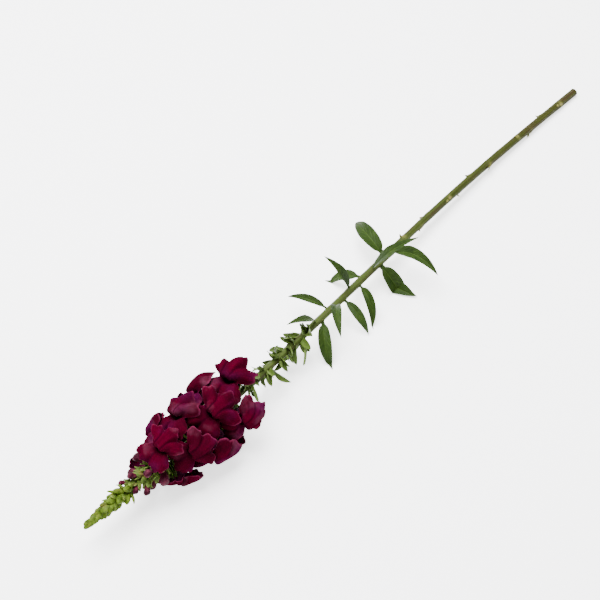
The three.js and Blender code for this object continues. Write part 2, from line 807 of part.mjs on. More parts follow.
// An azimuth about the stem, with what would grow downward bent to the nearer side.
function bentAside(azimuth) {
  const { from, middle, to, kept } = UNDERSIDE;
  const turned = THREE.MathUtils.euclideanModulo(azimuth, 360);
  if (turned < from || turned > to) return turned;
  return lerp(turned < middle ? from : to, turned, kept);
}

function leafTraits(i) {
  const draw = seeded(LEAF.seed + i);
  const share = i / (LEAF.count - 1);
  return {
    back: lerp(LEAF.first, LEAF.last, share) + strayed(draw, LEAF.placeSway),
    azimuth: bentAside(LEAF.spiralStart + GOLDEN_ANGLE * i + strayed(draw, LEAF.azimuthSway)),
    lean: between(LEAF.lean, share) + strayed(draw, LEAF.leanSway),
    length: between(LEAF.length, share) * between(LEAF.lengthShare, draw()),
    width: between(LEAF.width, share) * between(LEAF.widthShare, draw()),
    droop: between(LEAF.droop, draw()),
    twist: strayed(draw, LEAF.twistSway),
    phase: draw(),
    rise: between(LEAF.rise, draw()),
  };
}

// A small curled leaf of the upper stem with two tiny ones in its axil.
function smallLeaf(i) {
  const draw = seeded(SMALL_LEAF.seed + i);
  const share = i / (SMALL_LEAF.count - 1);
  const back = lerp(SMALL_LEAF.first, SMALL_LEAF.last, share) + strayed(draw, SMALL_LEAF.placeSway);
  const azimuth = SMALL_LEAF.spiralStart + GOLDEN_ANGLE * i + strayed(draw, SMALL_LEAF.azimuthSway);
  const at = seat(back, azimuth, between(SMALL_LEAF.lean, draw()), 0);
  const usual = between(SMALL_LEAF.length, share ** SMALL_LEAF.lengthPower);
  const length = usual * between(SMALL_LEAF.lengthShare, draw());
  const bend = at.up.clone().multiplyScalar(strayed(draw, SMALL_LEAF.curlSway));
  const made = [bladelet(at.foot, at.forward, bend, length, length * SMALL_LEAF.slimness)];
  for (const side of [-1, 1]) {
    const turned = azimuth + side * SMALL_LEAF.tuftTurn;
    const tuft = seat(back - SMALL_LEAF.tuftBack, turned, between(SMALL_LEAF.tuftLean, draw()), 0);
    const small = length * between(SMALL_LEAF.tuftLength, draw());
    const curl = tuft.outward.clone().multiplyScalar(SMALL_LEAF.tuftCurl);
    made.push(bladelet(tuft.foot, tuft.forward, curl, small, small * SMALL_LEAF.tuftSlimness));
  }
  return made;
}

// ---------------------------------------------------------------- the stem

// The tapering stem itself, with its flat cut end.
function stemRod() {
  const steps = Math.round(STEM.length / STEM.step);
  const rod = new THREE.CylinderGeometry(1, 1, STEM.length, STEM.sides, steps);
  return solid(
    formed(rod, (p) => {
      const along = p.y + STEM.length / 2;
      const frame = axisFrame(along);
      const radius = stemRadius(along);
      const [x, z] = [p.x * radius, p.z * radius];
      p.copy(frame.point).addScaledVector(frame.across, x).addScaledVector(frame.over, z);
    }),
  );
}

// The raised scar of a leaf that was stripped: a low wedge that leans towards the tip.
function scar(i) {
  const draw = seeded(SCAR.seed + i);
  const back = lerp(SCAR.first, SCAR.last, i / (SCAR.count - 1)) + strayed(draw, SCAR.placeSway);
  const azimuth = SCAR.spiralStart + GOLDEN_ANGLE * i + strayed(draw, SCAR.azimuthSway);
  const at = seat(back, azimuth, 90, 0);
  const centre = besideStem(back, azimuth, at, -SCAR.sunk);
  return solid(
    formed(new THREE.SphereGeometry(1, 6, 3), (p) => {
      const [across, out, ahead] = [SCAR.across * p.x, SCAR.out * p.y, SCAR.along * p.z];
      p.copy(centre)
        .addScaledVector(at.side, across)
        .addScaledVector(at.outward, out)
        .addScaledVector(at.up, ahead + 0.5 * Math.max(0, out));
    }),
  );
}

// ---------------------------------------------------------------- the whole object

const counted = (count, make) => Array.from({ length: count }, (_, i) => make(i));
const numbered = (name, i) => `${name}_${String(i + 1).padStart(2, "0")}`;

const blooms = counted(BLOOM.count, bloomTraits);
const buds = counted(BUD.count, budTraits);
const leaves = counted(LEAF.count, leafTraits);

function greenStem() {
  return join([
    stemRod(),
    ...counted(SCAR.count, scar),
    ...counted(SMALL_LEAF.count, smallLeaf).flat(),
    ...counted(GREEN_BUD.count, (i) => greenBud(greenBudTraits(i))).flat(),
    ...blooms.map(bloomCalyx),
    ...buds.map(budCalyx),
  ]);
}

const MATERIALS = {
  stem: new THREE.MeshStandardMaterial({ color: 0x6f8a3a, roughness: 0.55, metalness: 0 }),
  leaf: new THREE.MeshStandardMaterial({ color: 0x3f6b2c, roughness: 0.5, metalness: 0 }),
  bloom: new THREE.MeshStandardMaterial({ color: 0x7d0a36, roughness: 0.7, metalness: 0 }),
  bud: new THREE.MeshStandardMaterial({ color: 0x8d4560, roughness: 0.65, metalness: 0 }),
};

const pieces = [["stem", MATERIALS.stem, greenStem()]];
leaves.forEach((traits, i) => pieces.push([numbered("leaf", i), MATERIALS.leaf, leaf(traits)]));
blooms.forEach((traits, i) => pieces.push([numbered("bloom", i), MATERIALS.bloom, bloom(traits)]));
buds.forEach((traits, i) => pieces.push([numbered("bud", i), MATERIALS.bud, bud(traits)]));

// The surface under the stem flattens its lowest points a little.
const surface = Math.min(...pieces.map(([, , made]) => made.boundingBox().min[2])) + FLAT_SPOT;
const block = new THREE.BoxGeometry(2 * STEM.length, STEM.length, STEM.length);
const below = solid(block.translate(0, 0, surface - STEM.length / 2));

const stem = new THREE.Group();
for (const [name, material, made] of pieces) {
  const resting = made.boundingBox().min[2] < surface;
  const mesh = (resting ? largestBody(made.subtract(below)) : made).getMesh();
  const geometry = new THREE.BufferGeometry();
  geometry.setAttribute("position", new THREE.BufferAttribute(mesh.vertProperties, 3));
  geometry.setIndex(new THREE.BufferAttribute(mesh.triVerts, 1));
  const piece = new THREE.Mesh(geometry, material);
  piece.name = name;
  stem.add(piece);
}

// The origin lies under the middle of the bounding box, on the surface.
const bounds = new THREE.Box3().setFromObject(stem);
const middle = bounds.getCenter(vector(0, 0, 0));
stem.position.set(-middle.x, -middle.y, -bounds.min.z);

export default stem;
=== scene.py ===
"""One cut snapdragon stem lying on its side, with every surface finished.

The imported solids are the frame. Each of them is replaced by finer surfaces that grow by the same rules and
from the same seeded draws, so each stays where its solid is. Growth is worked out in millimetres from the tip
of the flower spike, and is turned into the frame's metres when a mesh is shaped.
"""

import logging
import math
from collections.abc import Callable, Iterable, Iterator, Sequence
from contextlib import contextmanager
from dataclasses import dataclass
from enum import Enum

import bpy
import numpy as np
import numpy.typing as npt
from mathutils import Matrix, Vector

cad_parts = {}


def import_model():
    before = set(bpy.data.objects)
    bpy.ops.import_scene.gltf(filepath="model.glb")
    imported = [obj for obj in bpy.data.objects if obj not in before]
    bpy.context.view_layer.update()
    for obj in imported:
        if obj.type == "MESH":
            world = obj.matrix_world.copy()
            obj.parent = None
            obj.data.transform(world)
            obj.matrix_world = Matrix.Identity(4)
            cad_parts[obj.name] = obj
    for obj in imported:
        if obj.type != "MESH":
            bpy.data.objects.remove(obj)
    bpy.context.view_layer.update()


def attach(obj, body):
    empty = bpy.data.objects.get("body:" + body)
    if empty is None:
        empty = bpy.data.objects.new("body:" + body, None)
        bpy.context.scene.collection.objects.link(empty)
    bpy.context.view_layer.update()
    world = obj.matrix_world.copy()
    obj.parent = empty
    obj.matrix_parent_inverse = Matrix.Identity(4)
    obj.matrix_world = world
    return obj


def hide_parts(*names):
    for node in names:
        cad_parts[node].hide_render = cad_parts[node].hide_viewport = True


Piece = bpy.types.Object
Material = bpy.types.Material
Points = npt.NDArray[np.float64]
Shares = npt.NDArray[np.float64]
Surface = Callable[[Shares, Shares], Points]

log = logging.getLogger("snapdragon")

METRES = 0.001
FRAME_SHIFT = np.array([-1.68217, -1.38365, -0.60099])  # from the stem's own line to the frame, in mm
GOLDEN_ANGLE = 137.508
SPIRAL_START = 104.0
GAP = 0.35  # between a soft piece and what carries it
PRESS_FROM = 15.0  # height under which soft pieces give way to the surface that they lie on
PRESS_SOFTNESS = 19.0
FLOOR_CLEARANCE = 0.05
MERGE_WITHIN = 2e-6  # metres


class Slot(Enum):
    """The record's material slots."""

    STEM = "stem"
    LEAF = "leaf"
    PETAL = "petal"
    BUD = "bud"


# ------------ draws and shares


class Draws:
    """Seeded draws from 0 to 1 (the mulberry32 generator)."""

    MASK = 0xFFFFFFFF

    def __init__(self, seed: int) -> None:
        """Starts the draws.

        Args:
            seed: Whole number that fixes all that is drawn.
        """
        self.state = seed & self.MASK

    def draw(self) -> float:
        """Returns the next draw from 0 to 1.

        Returns:
            The number drawn.
        """
        self.state = (self.state + 0x6D2B79F5) & self.MASK
        mixed = ((self.state ^ (self.state >> 15)) * (1 | self.state)) & self.MASK
        mixed ^= (mixed + (mixed ^ (mixed >> 7)) * (61 | mixed)) & self.MASK
        return (mixed ^ (mixed >> 14)) / 2**32

    def strayed(self, sway: float) -> float:
        """Returns a draw from -sway to sway."""
        return -sway + 2 * sway * self.draw()

    def between(self, low: float, high: float) -> float:
        """Returns a draw from low to high."""
        return low + (high - low) * self.draw()


def lerp(first: float, last: float, share: float) -> float:
    """Returns the value a share of the way from first to last."""
    return first + (last - first) * share


def ease(low: float, high: float, x: Shares) -> Shares:
    """Returns a smooth step from 0 at low to 1 at high."""
    t = np.clip((x - low) / (high - low), 0.0, 1.0)
    return t * t * (3 - 2 * t)


def unit(direction: Points) -> Points:
    """Returns directions at length 1."""
    return direction / np.linalg.norm(direction, axis=-1, keepdims=True)


def through(controls: Points, share: Shares) -> Points:
    """Follows a smooth curve through control points, each vertex along its own.

    Args:
        controls: Control points, as an array of stations, vertices and coordinates.
        share: How far along the curve each vertex lies, from 0 to 1.

    Returns:
        One point for each vertex.
    """
    last = len(controls) - 1
    place = np.clip(share, 0, 1) * last
    span = np.minimum(place.astype(int), last - 1)
    t = (place - span)[:, None]
    padded = np.concatenate([2 * controls[:1] - controls[1:2], controls, 2 * controls[-1:] - controls[-2:-1]])
    each = np.arange(len(share))
    a, b, c, d = (padded[span + k, each] for k in range(4))
    cubic = (2 * b) + (c - a) * t + (2 * a - 5 * b + 4 * c - d) * t**2 + (3 * b - a - 3 * c + d) * t**3
    return 0.5 * cubic


def pressed(points: Points) -> Points:
    """Squeezes the part of something soft that would hang below the surface it lies on.

    Args:
        points: Points on the soft thing.

    Returns:
        The points, with the low ones squeezed together.
    """
    depth = np.maximum(PRESS_FROM - points[:, 2], 0.0)
    squeezed = PRESS_FROM - depth / np.hypot(1.0, depth / PRESS_SOFTNESS)
    return np.column_stack([points[:, :2], np.where(depth > 0, squeezed, points[:, 2])])


# ------------ the stem's line


@dataclass
class Seat:
    """Where something grows from the stem, with its own axes: side, up towards the tip, and forward."""

    base: Points
    side: Points
    up: Points
    forward: Points
    outward: Points
    foot: Points

    def place(self, x: Shares, y: Shares, z: Shares) -> Points:
        """Returns points given along the seat's axes."""
        return self.base + np.outer(x, self.side) + np.outer(y, self.up) + np.outer(z, self.forward)

    def rolled(self, degrees: float) -> "Seat":
        """Returns the same seat, rolled about its forward axis.

        Args:
            degrees: How far to roll it.

        Returns:
            The rolled seat.
        """
        c, s = math.cos(math.radians(degrees)), math.sin(math.radians(degrees))
        side, up = self.side * c + self.up * s, self.up * c - self.side * s
        return Seat(self.base, side, up, self.forward, self.outward, self.foot)


@dataclass(frozen=True)
class StemLine:
    """The line that the stem follows, with its thickness. Lengths are in millimetres."""

    length: float = 720.0
    base_radius: float = 4.2
    upper_radius: float = 3.2
    tip_radius: float = 0.7
    taper: float = 0.7
    flowers_from: float = 180.0
    rise_length: float = 640.0
    head_height: float = 32.0
    side_sway: float = 5.0
    root_depth: float = 0.5
    facet: float = 45.0

    def point(self, along: float) -> Points:
        """Returns the axis at a distance along it from the cut end.

        Args:
            along: The distance.

        Returns:
            The point on the axis.
        """
        share = min(1.0, along / self.rise_length)
        rise = 0.5 * share + 0.5 * math.sin(math.pi / 2 * share) ** 2
        side = -self.side_sway * math.sin(2 * math.pi * along / self.length)
        height = lerp(self.base_radius, self.head_height, rise)
        return np.array([along - self.length / 2, side, height])

    def directions(self, along: float) -> tuple[Points, Points, Points]:
        """Returns the directions along, across and over the stem.

        Args:
            along: Distance from the cut end.

        Returns:
            Three directions of length 1.
        """
        tangent = unit(self.point(along + 1) - self.point(along - 1))
        across = unit(np.cross([0.0, 0.0, 1.0], tangent))
        return tangent, across, np.cross(tangent, across)

    def radius(self, along: float) -> float:
        """Returns the stem's radius at a distance along it from the cut end.

        Args:
            along: The distance.

        Returns:
            The radius there.
        """
        back = self.length - along
        if back > self.flowers_from:
            share = (back - self.flowers_from) / (self.length - self.flowers_from)
            return lerp(self.upper_radius, self.base_radius, share)
        share = (max(0.0, back) / self.flowers_from) ** self.taper
        return lerp(self.tip_radius, self.upper_radius, share)

    def seat(self, back: float, azimuth: float, lean: float, reach: float) -> Seat:
        """Finds where something grows from the stem.

        Args:
            back: Distance back from the tip.
            azimuth: Degrees about the stem, from its left side over the top.
            lean: Degrees between what grows and the stem.
            reach: Length of its stalk.

        Returns:
            The seat at the end of the stalk.
        """
        along = self.length - back
        tangent, across, over = self.directions(along)
        turn, angle = math.radians(azimuth), math.radians(lean)
        outward = across * math.cos(turn) + over * math.sin(turn)
        forward = tangent * math.cos(angle) + outward * math.sin(angle)
        up = tangent * math.sin(angle) - outward * math.cos(angle)
        foot = self.point(along) + outward * self.radius(along) * self.root_depth
        return Seat(foot + forward * reach, np.cross(up, forward), up, forward, outward, foot)

    def beside(self, back: float, azimuth: float, seat: Seat, out: float) -> Points:
        """Returns a point at the stem's faceted solid in a seat's direction, moved outward.

        Args:
            back: Distance back from the tip.
            azimuth: Degrees about the stem.
            seat: Its seat.
            out: How far outward.

        Returns:
            The point.
        """
        along = self.length - back
        turn = math.radians(azimuth % self.facet - self.facet / 2)
        surface = self.radius(along) * math.cos(math.radians(self.facet / 2)) / math.cos(turn)
        return self.point(along) + seat.outward * (surface + out)


@dataclass
class Spiral:
    """Things that grow round the stem in a spiral, between two distances back from the tip."""

    line: StemLine
    count: int
    first: float
    last: float
    place_sway: float
    seed: int
    spiral_start: float
    azimuth_sway: float

    def start(self, i: int) -> tuple[Draws, float, float]:
        """Starts the draws for one of them, which first give where it grows.

        Args:
            i: Its number, from 0.

        Returns:
            The draws, its distance back from the tip and its azimuth.
        """
        draws = Draws(self.seed + i)
        back = lerp(self.first, self.last, i / (self.count - 1)) + draws.strayed(self.place_sway)
        return draws, back, self.spiral_start + GOLDEN_ANGLE * i + draws.strayed(self.azimuth_sway)

    def places(self) -> list[tuple[float, float]]:
        """Returns the distance back from the tip and the azimuth of each."""
        return [self.start(i)[1:] for i in range(self.count)]


# ------------ shaping meshes


def select_only(*objects: Piece) -> None:
    """Selects these objects and nothing else, with the first one active.

    Args:
        objects: What to select.
    """
    bpy.ops.object.select_all(action="DESELECT")
    for obj in objects:
        obj.select_set(True)
    bpy.context.view_layer.objects.active = objects[0]


def new_primitive(name: str, add: Callable[..., set[str]], **sizes: object) -> Piece:
    """Adds a primitive, with nothing else selected.

    Args:
        name: Name of the piece that it becomes.
        add: The operator that adds it.
        sizes: What the operator is given.

    Returns:
        The primitive.
    """
    bpy.ops.object.select_all(action="DESELECT")
    add(**sizes)
    obj = bpy.context.object
    obj.name = obj.data.name = name
    return obj


def flat_sheet(name: str, columns: int, rows: int) -> Piece:
    """Adds a flat grid with its own UV map, from -1 to 1 across and along."""
    add = bpy.ops.mesh.primitive_grid_add
    return new_primitive(name, add, x_subdivisions=columns, y_subdivisions=rows, size=2.0)


def corners(obj: Piece) -> Points:
    """Returns a mesh's vertices.

    Args:
        obj: The piece.

    Returns:
        One row of coordinates for each vertex.
    """
    flat = np.empty(3 * len(obj.data.vertices))
    obj.data.vertices.foreach_get("co", flat)
    return flat.reshape(-1, 3)


def set_corners(obj: Piece, points: Points) -> None:
    """Moves a mesh's vertices."""
    obj.data.vertices.foreach_set("co", points.ravel())
    obj.data.update()


def in_frame(points: Points, clearance: float = FLOOR_CLEARANCE) -> Points:
    """Turns the stem's millimetres into the frame's metres, and keeps points off the surface it lies on.

    Args:
        points: Points on the stem.
        clearance: Lowest height that they may have, in millimetres.

    Returns:
        The points in the frame.
    """
    placed = points + FRAME_SHIFT
    placed[:, 2] = np.maximum(placed[:, 2], clearance)
    return placed * METRES


class Element(Enum):
    """What is chosen in a mesh that is open for editing, with its select mode."""

    EDGE = (False, True, False)
    FACE = (False, False, True)


@contextmanager
def editing(obj: Piece, kind: Element, chosen: npt.NDArray[np.bool_]) -> Iterator[None]:
    """Holds a mesh open for editing with only the chosen edges or faces selected.

    Args:
        obj: The piece.
        kind: Whether edges or faces are chosen.
        chosen: True for each one that is.

    Yields:
        Nothing; the mesh is closed again after the block.
    """
    mesh = obj.data
    select_only(obj)
    bpy.context.tool_settings.mesh_select_mode = kind.value
    for elements in (mesh.vertices, mesh.edges, mesh.polygons):
        elements.foreach_set("select", np.zeros(len(elements), dtype=bool))
    (mesh.edges if kind is Element.EDGE else mesh.polygons).foreach_set("select", chosen)
    bpy.ops.object.mode_set(mode="EDIT")
    yield
    bpy.ops.object.mode_set(mode="OBJECT")


def facing(obj: Piece, direction: Sequence[float], at_least: float) -> npt.NDArray[np.bool_]:
    """Returns which faces look a given way.

    Args:
        obj: The piece.
        direction: The way to look, of length 1.
        at_least: Least cosine of the angle between a face's normal and that way.

    Returns:
        True for each face that does.
    """
    normals = np.empty(3 * len(obj.data.polygons))
    obj.data.polygons.foreach_get("normal", normals)
    return normals.reshape(-1, 3) @ np.array(direction) >= at_least


def merge_doubles(obj: Piece) -> None:
    """Merges the vertices that meet at a seam or a pole."""
    with editing(obj, Element.FACE, np.ones(len(obj.data.polygons), dtype=bool)):
        bpy.ops.mesh.remove_doubles(threshold=MERGE_WITHIN)


def solidify(obj: Piece, thickness: float) -> None:
    """Gives a sheet its thickness to both sides alike.

    Args:
        obj: The sheet.
        thickness: Its thickness in the mesh's own units.
    """
    select_only(obj)
    modifier = obj.modifiers.new("thickness", "SOLIDIFY")
    modifier.thickness = thickness
    modifier.offset = 0.0
    bpy.ops.object.modifier_apply(modifier=modifier.name)


def shaped(name: str, columns: int, rows: int, surface: Surface, thickness: float) -> Piece:
    """Shapes a flat grid into a surface, closes its seams and poles, and gives it its thickness.

    Args:
        name: Name of the piece.
        columns: Faces round or across the surface.
        rows: Faces along it.
        surface: Gives the points for shares across and along.
        thickness: Its thickness in millimetres.

    Returns:
        The shaped piece.
    """
    obj = flat_sheet(name, columns, rows)
    flat = corners(obj) / 2 + 0.5
    set_corners(obj, in_frame(surface(flat[:, 0], flat[:, 1]), thickness / 2 + FLOOR_CLEARANCE))
    merge_doubles(obj)
    thicken(obj, thickness)
    return obj


def keep_value(obj: Piece, name: str, values: Shares) -> None:
    """Keeps one value for each vertex on the mesh, as a named attribute."""
    layer = obj.data.attributes.new(name, "FLOAT", "POINT")
    layer.data.foreach_set("value", values.astype(np.float32))


def thicken(obj: Piece, thickness: float) -> None:
    """Gives a shaped sheet its thickness, and marks the side that faces in.

    Args:
        obj: The sheet.
        thickness: Its thickness in millimetres.
    """
    count = len(obj.data.vertices)
    normals = np.empty(3 * count)
    obj.data.vertex_normals.foreach_get("vector", normals)
    solidify(obj, thickness * METRES)
    points = corners(obj)
    lifted = np.einsum("ij,ij->i", points[count : 2 * count] - points[:count], normals.reshape(-1, 3))
    first_faces_in = float(lifted.mean() > 0)
    sides = np.full(len(points), 1 - first_faces_in)
    sides[:count] = first_faces_in
    keep_value(obj, "face", sides)


class Pattern:
    """A shape that is modelled once, in shares of its own size, and copied into its places."""

    def __init__(self, obj: Piece) -> None:
        """Takes over a modelled shape."""
        self.obj = obj
        self.shape = corners(obj)

    def copy(self, name: str, form: Callable[[Points], Points]) -> Piece:
        """Copies the shape, with a mesh of its own.

        Args:
            name: Name of the copy.
            form: Turns the shape's vertices into points on the stem.

        Returns:
            The copy.
        """
        select_only(self.obj)
        bpy.ops.object.duplicate(linked=False)
        obj = bpy.context.object
        obj.name = obj.data.name = name
        set_corners(obj, in_frame(form(self.shape)))
        return obj

    def discard(self) -> None:
        """Removes the shape when all its copies are made."""
        bpy.data.meshes.remove(self.obj.data)


def blade_pattern(columns: int, rows: int) -> Pattern:
    """Models a flat blade: -1 to 1 across, along and through its thickness.

    Args:
        columns: Faces across.
        rows: Faces along.

    Returns:
        The blade.
    """
    obj = flat_sheet("blade_pattern", columns, rows)
    solidify(obj, 2.0)
    keep_value(obj, "face", corners(obj)[:, 2] > 0)
    return Pattern(obj)


def new_ball(name: str, segments: int, rings: int) -> Piece:
    """Adds a ball of radius 1 whose poles lie below and above."""
    add = bpy.ops.mesh.primitive_uv_sphere_add
    return new_primitive(name, add, segments=segments, ring_count=rings, radius=1.0)


def round_and_along(shape: Points) -> tuple[Shares, Shares]:
    """Returns the angle round a ball and the share of the way from its lower to its upper pole."""
    return np.arctan2(shape[:, 1], shape[:, 0]), np.arccos(np.clip(-shape[:, 2], -1, 1)) / np.pi


def joined(name: str, parts: Sequence[Piece]) -> Piece:
    """Joins several meshes in one piece.

    Args:
        name: Name of the piece.
        parts: Meshes to join.

    Returns:
        The joined piece.
    """
    select_only(*parts)
    bpy.ops.object.join()
    obj = bpy.context.object
    obj.name = obj.data.name = name
    return obj


def finish_piece(
    obj: Piece, material: Material, slot: Slot, nodes: Iterable[str], sharp: float = 180.0
) -> None:
    """Smooths and dresses a piece, hangs it on the root body and hides the solids that it replaces.

    Args:
        obj: The finished mesh.
        material: Its finish.
        slot: Material slot that the finish belongs to, which is only logged.
        nodes: Solids that the piece replaces.
        sharp: Degrees past which an edge stays sharp.
    """
    obj.data.materials.clear()
    obj.data.materials.append(material)
    select_only(obj)
    bpy.ops.object.shade_smooth_by_angle(angle=math.radians(sharp))
    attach(obj, "root")
    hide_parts(*nodes)
    log.info("%s: %d faces in slot %s", obj.name, len(obj.data.polygons), slot.value)


# ------------ finishes


Colour = tuple[float, float, float]
Socket = bpy.types.NodeSocket
Value = Socket | float


def screen(red: int, green: int, blue: int) -> Colour:
    """Returns a colour given in the 0 to 255 of a screen as the linear values of a shader."""
    linear = [((c / 255 + 0.055) / 1.055) ** 2.4 if c > 10 else c / 255 / 12.92 for c in (red, green, blue)]
    return linear[0], linear[1], linear[2]


class Graph:
    """The nodes of one material, round its Principled shader."""

    def __init__(self, name: str) -> None:
        """Starts a material.

        Args:
            name: Name of the material.
        """
        self.material = bpy.data.materials.new(name)
        self.material.use_nodes = True
        self.nodes = self.material.node_tree.nodes
        self.links = self.material.node_tree.links
        self.shader = self.nodes["Principled BSDF"]

    def put(self, socket: Socket, value: Value | Sequence[float]) -> None:
        """Links a socket to another, or sets its value.

        Args:
            socket: The socket.
            value: Another socket, a number, a colour or a vector.
        """
        if isinstance(value, Socket):
            self.links.new(value, socket)
        elif isinstance(value, (int, float)):
            socket.default_value = value
        else:
            socket.default_value = (*value, 1.0)[: len(socket.default_value)]

    def set(self, **values: Value | Sequence[float]) -> None:
        """Sets the shader's own sockets, named in lower case with underscores."""
        for name, value in values.items():
            self.put(self.shader.inputs[name.replace("_", " ").title().replace("Ior", "IOR")], value)

    def math(self, operation: str, first: Value, second: Value = 0.0) -> Socket:
        """Returns the result of a Math node.

        Args:
            operation: What the node does.
            first: First value.
            second: Second value.

        Returns:
            The result.
        """
        node = self.nodes.new("ShaderNodeMath")
        node.operation = operation
        self.put(node.inputs[0], first)
        self.put(node.inputs[1], second)
        return node.outputs[0]

    def times(self, first: Value, second: Value) -> Socket:
        """Returns the product of two values."""
        return self.math("MULTIPLY", first, second)

    def mix(self, factor: Value, first: Socket | Colour, second: Socket | Colour) -> Socket:
        """Returns two colours mixed by a factor.

        Args:
            factor: Share of the second colour.
            first: First colour.
            second: Second colour.

        Returns:
            The mixed colour.
        """
        node = self.nodes.new("ShaderNodeMix")
        node.data_type = "RGBA"
        self.put(node.inputs[0], factor)
        self.put(node.inputs[6], first)
        self.put(node.inputs[7], second)
        return node.outputs[2]

    def ramp(self, factor: Socket, stops: Sequence[tuple[float, Colour]]) -> Socket:
        """Returns a colour ramp over a factor.

        Args:
            factor: Value from 0 to 1.
            stops: Places on the ramp with their colours.

        Returns:
            The ramp's colour.
        """
        node = self.nodes.new("ShaderNodeValToRGB")
        elements = node.color_ramp.elements
        while len(elements) < len(stops):
            elements.new(0.5)
        for element, (place, colour) in zip(elements, stops, strict=True):
            element.position = place
            element.color = (*colour, 1.0)
        self.put(node.inputs[0], factor)
        return node.outputs[0]

    def remap(self, value: Socket, low: float, high: float, first: float = 0.0, last: float = 1.0) -> Socket:
        """Returns a value moved from the range low to high into first to last, and kept in it.

        Args:
            value: The value.
            low: Start of its range.
            high: End of its range.
            first: What the start becomes.
            last: What the end becomes.

        Returns:
            The moved value.
        """
        node = self.nodes.new("ShaderNodeMapRange")
        for socket, limit in zip(node.inputs[1:5], (low, high, first, last), strict=True):
            socket.default_value = limit
        self.put(node.inputs[0], value)
        return node.outputs[0]

    def place(self) -> Socket:
        """Returns the place on the object, in metres."""
        return self.nodes.new("ShaderNodeTexCoord").outputs["Object"]

    def across_and_along(self) -> tuple[Socket, Socket]:
        """Returns the shares across and along the piece's own UV map.

        Returns:
            The two shares.
        """
        uv = self.nodes.new("ShaderNodeUVMap")
        uv.uv_map = "UVMap"
        return self.parts(uv.outputs[0])[:2]

    def parts(self, vector: Socket) -> list[Socket]:
        """Returns the three parts of a vector.

        Args:
            vector: The vector.

        Returns:
            Its x, y and z.
        """
        node = self.nodes.new("ShaderNodeSeparateXYZ")
        self.put(node.inputs[0], vector)
        return list(node.outputs)

    def vector(self, x: Value, y: Value) -> Socket:
        """Returns a flat vector made of two parts.

        Args:
            x: First part.
            y: Second part.

        Returns:
            The vector.
        """
        node = self.nodes.new("ShaderNodeCombineXYZ")
        self.put(node.inputs[0], x)
        self.put(node.inputs[1], y)
        return node.outputs[0]

    def noise(self, place: Socket, scale: float, detail: float = 2.0) -> Socket:
        """Returns noise from 0 to 1 at a place.

        Args:
            place: Where it is read.
            scale: Features in a unit of length.
            detail: How many finer layers it has.

        Returns:
            The noise.
        """
        node = self.nodes.new("ShaderNodeTexNoise")
        node.inputs["Scale"].default_value = scale
        node.inputs["Detail"].default_value = detail
        self.put(node.inputs["Vector"], place)
        return node.outputs["Fac"]

    def spread(self, noise: Socket, low: float, high: float) -> Socket:
        """Returns noise spread over a range, from where it is lowest to where it is highest."""
        return self.remap(noise, 0.3, 0.7, low, high)

    def lines(
        self, across: Socket, along: Socket, count: float, breaks: float, detail: float = 1.0
    ) -> Socket:
        """Returns noise that is drawn out in lines.

        Args:
            across: Share across the lines.
            along: Share along them.
            count: How many features there are across.
            breaks: How many there are along.
            detail: Detail of the noise.

        Returns:
            Noise from 0 to 1.
        """
        return self.noise(self.vector(self.times(across, count), self.times(along, breaks)), 1.0, detail)

    def kept(self, name: str) -> Socket:
        """Returns a value that is kept on the mesh.

        Args:
            name: Name that it is kept under.

        Returns:
            The value.
        """
        node = self.nodes.new("ShaderNodeAttribute")
        node.attribute_name = name
        return node.outputs["Fac"]

    def bump(self, height: Socket, distance: float) -> None:
        """Raises the surface by a height, given for a distance in metres.

        Args:
            height: Value from 0 to 1.
            distance: Height of 1 in metres.
        """
        node = self.nodes.new("ShaderNodeBump")
        node.inputs["Distance"].default_value = distance
        self.put(node.inputs["Height"], height)
        self.put(self.shader.inputs["Normal"], node.outputs[0])


@dataclass(frozen=True)
class Finish:
    """What all finishes share: a name, and a material that each paints in its own way."""

    name: str

    def paint(self, graph: Graph) -> None:
        """Paints the material, which each finish does for itself."""
        raise NotImplementedError

    def build(self) -> Material:
        """Makes the material.

        Returns:
            The painted material.
        """
        graph = Graph(self.name)
        self.paint(graph)
        return graph.material


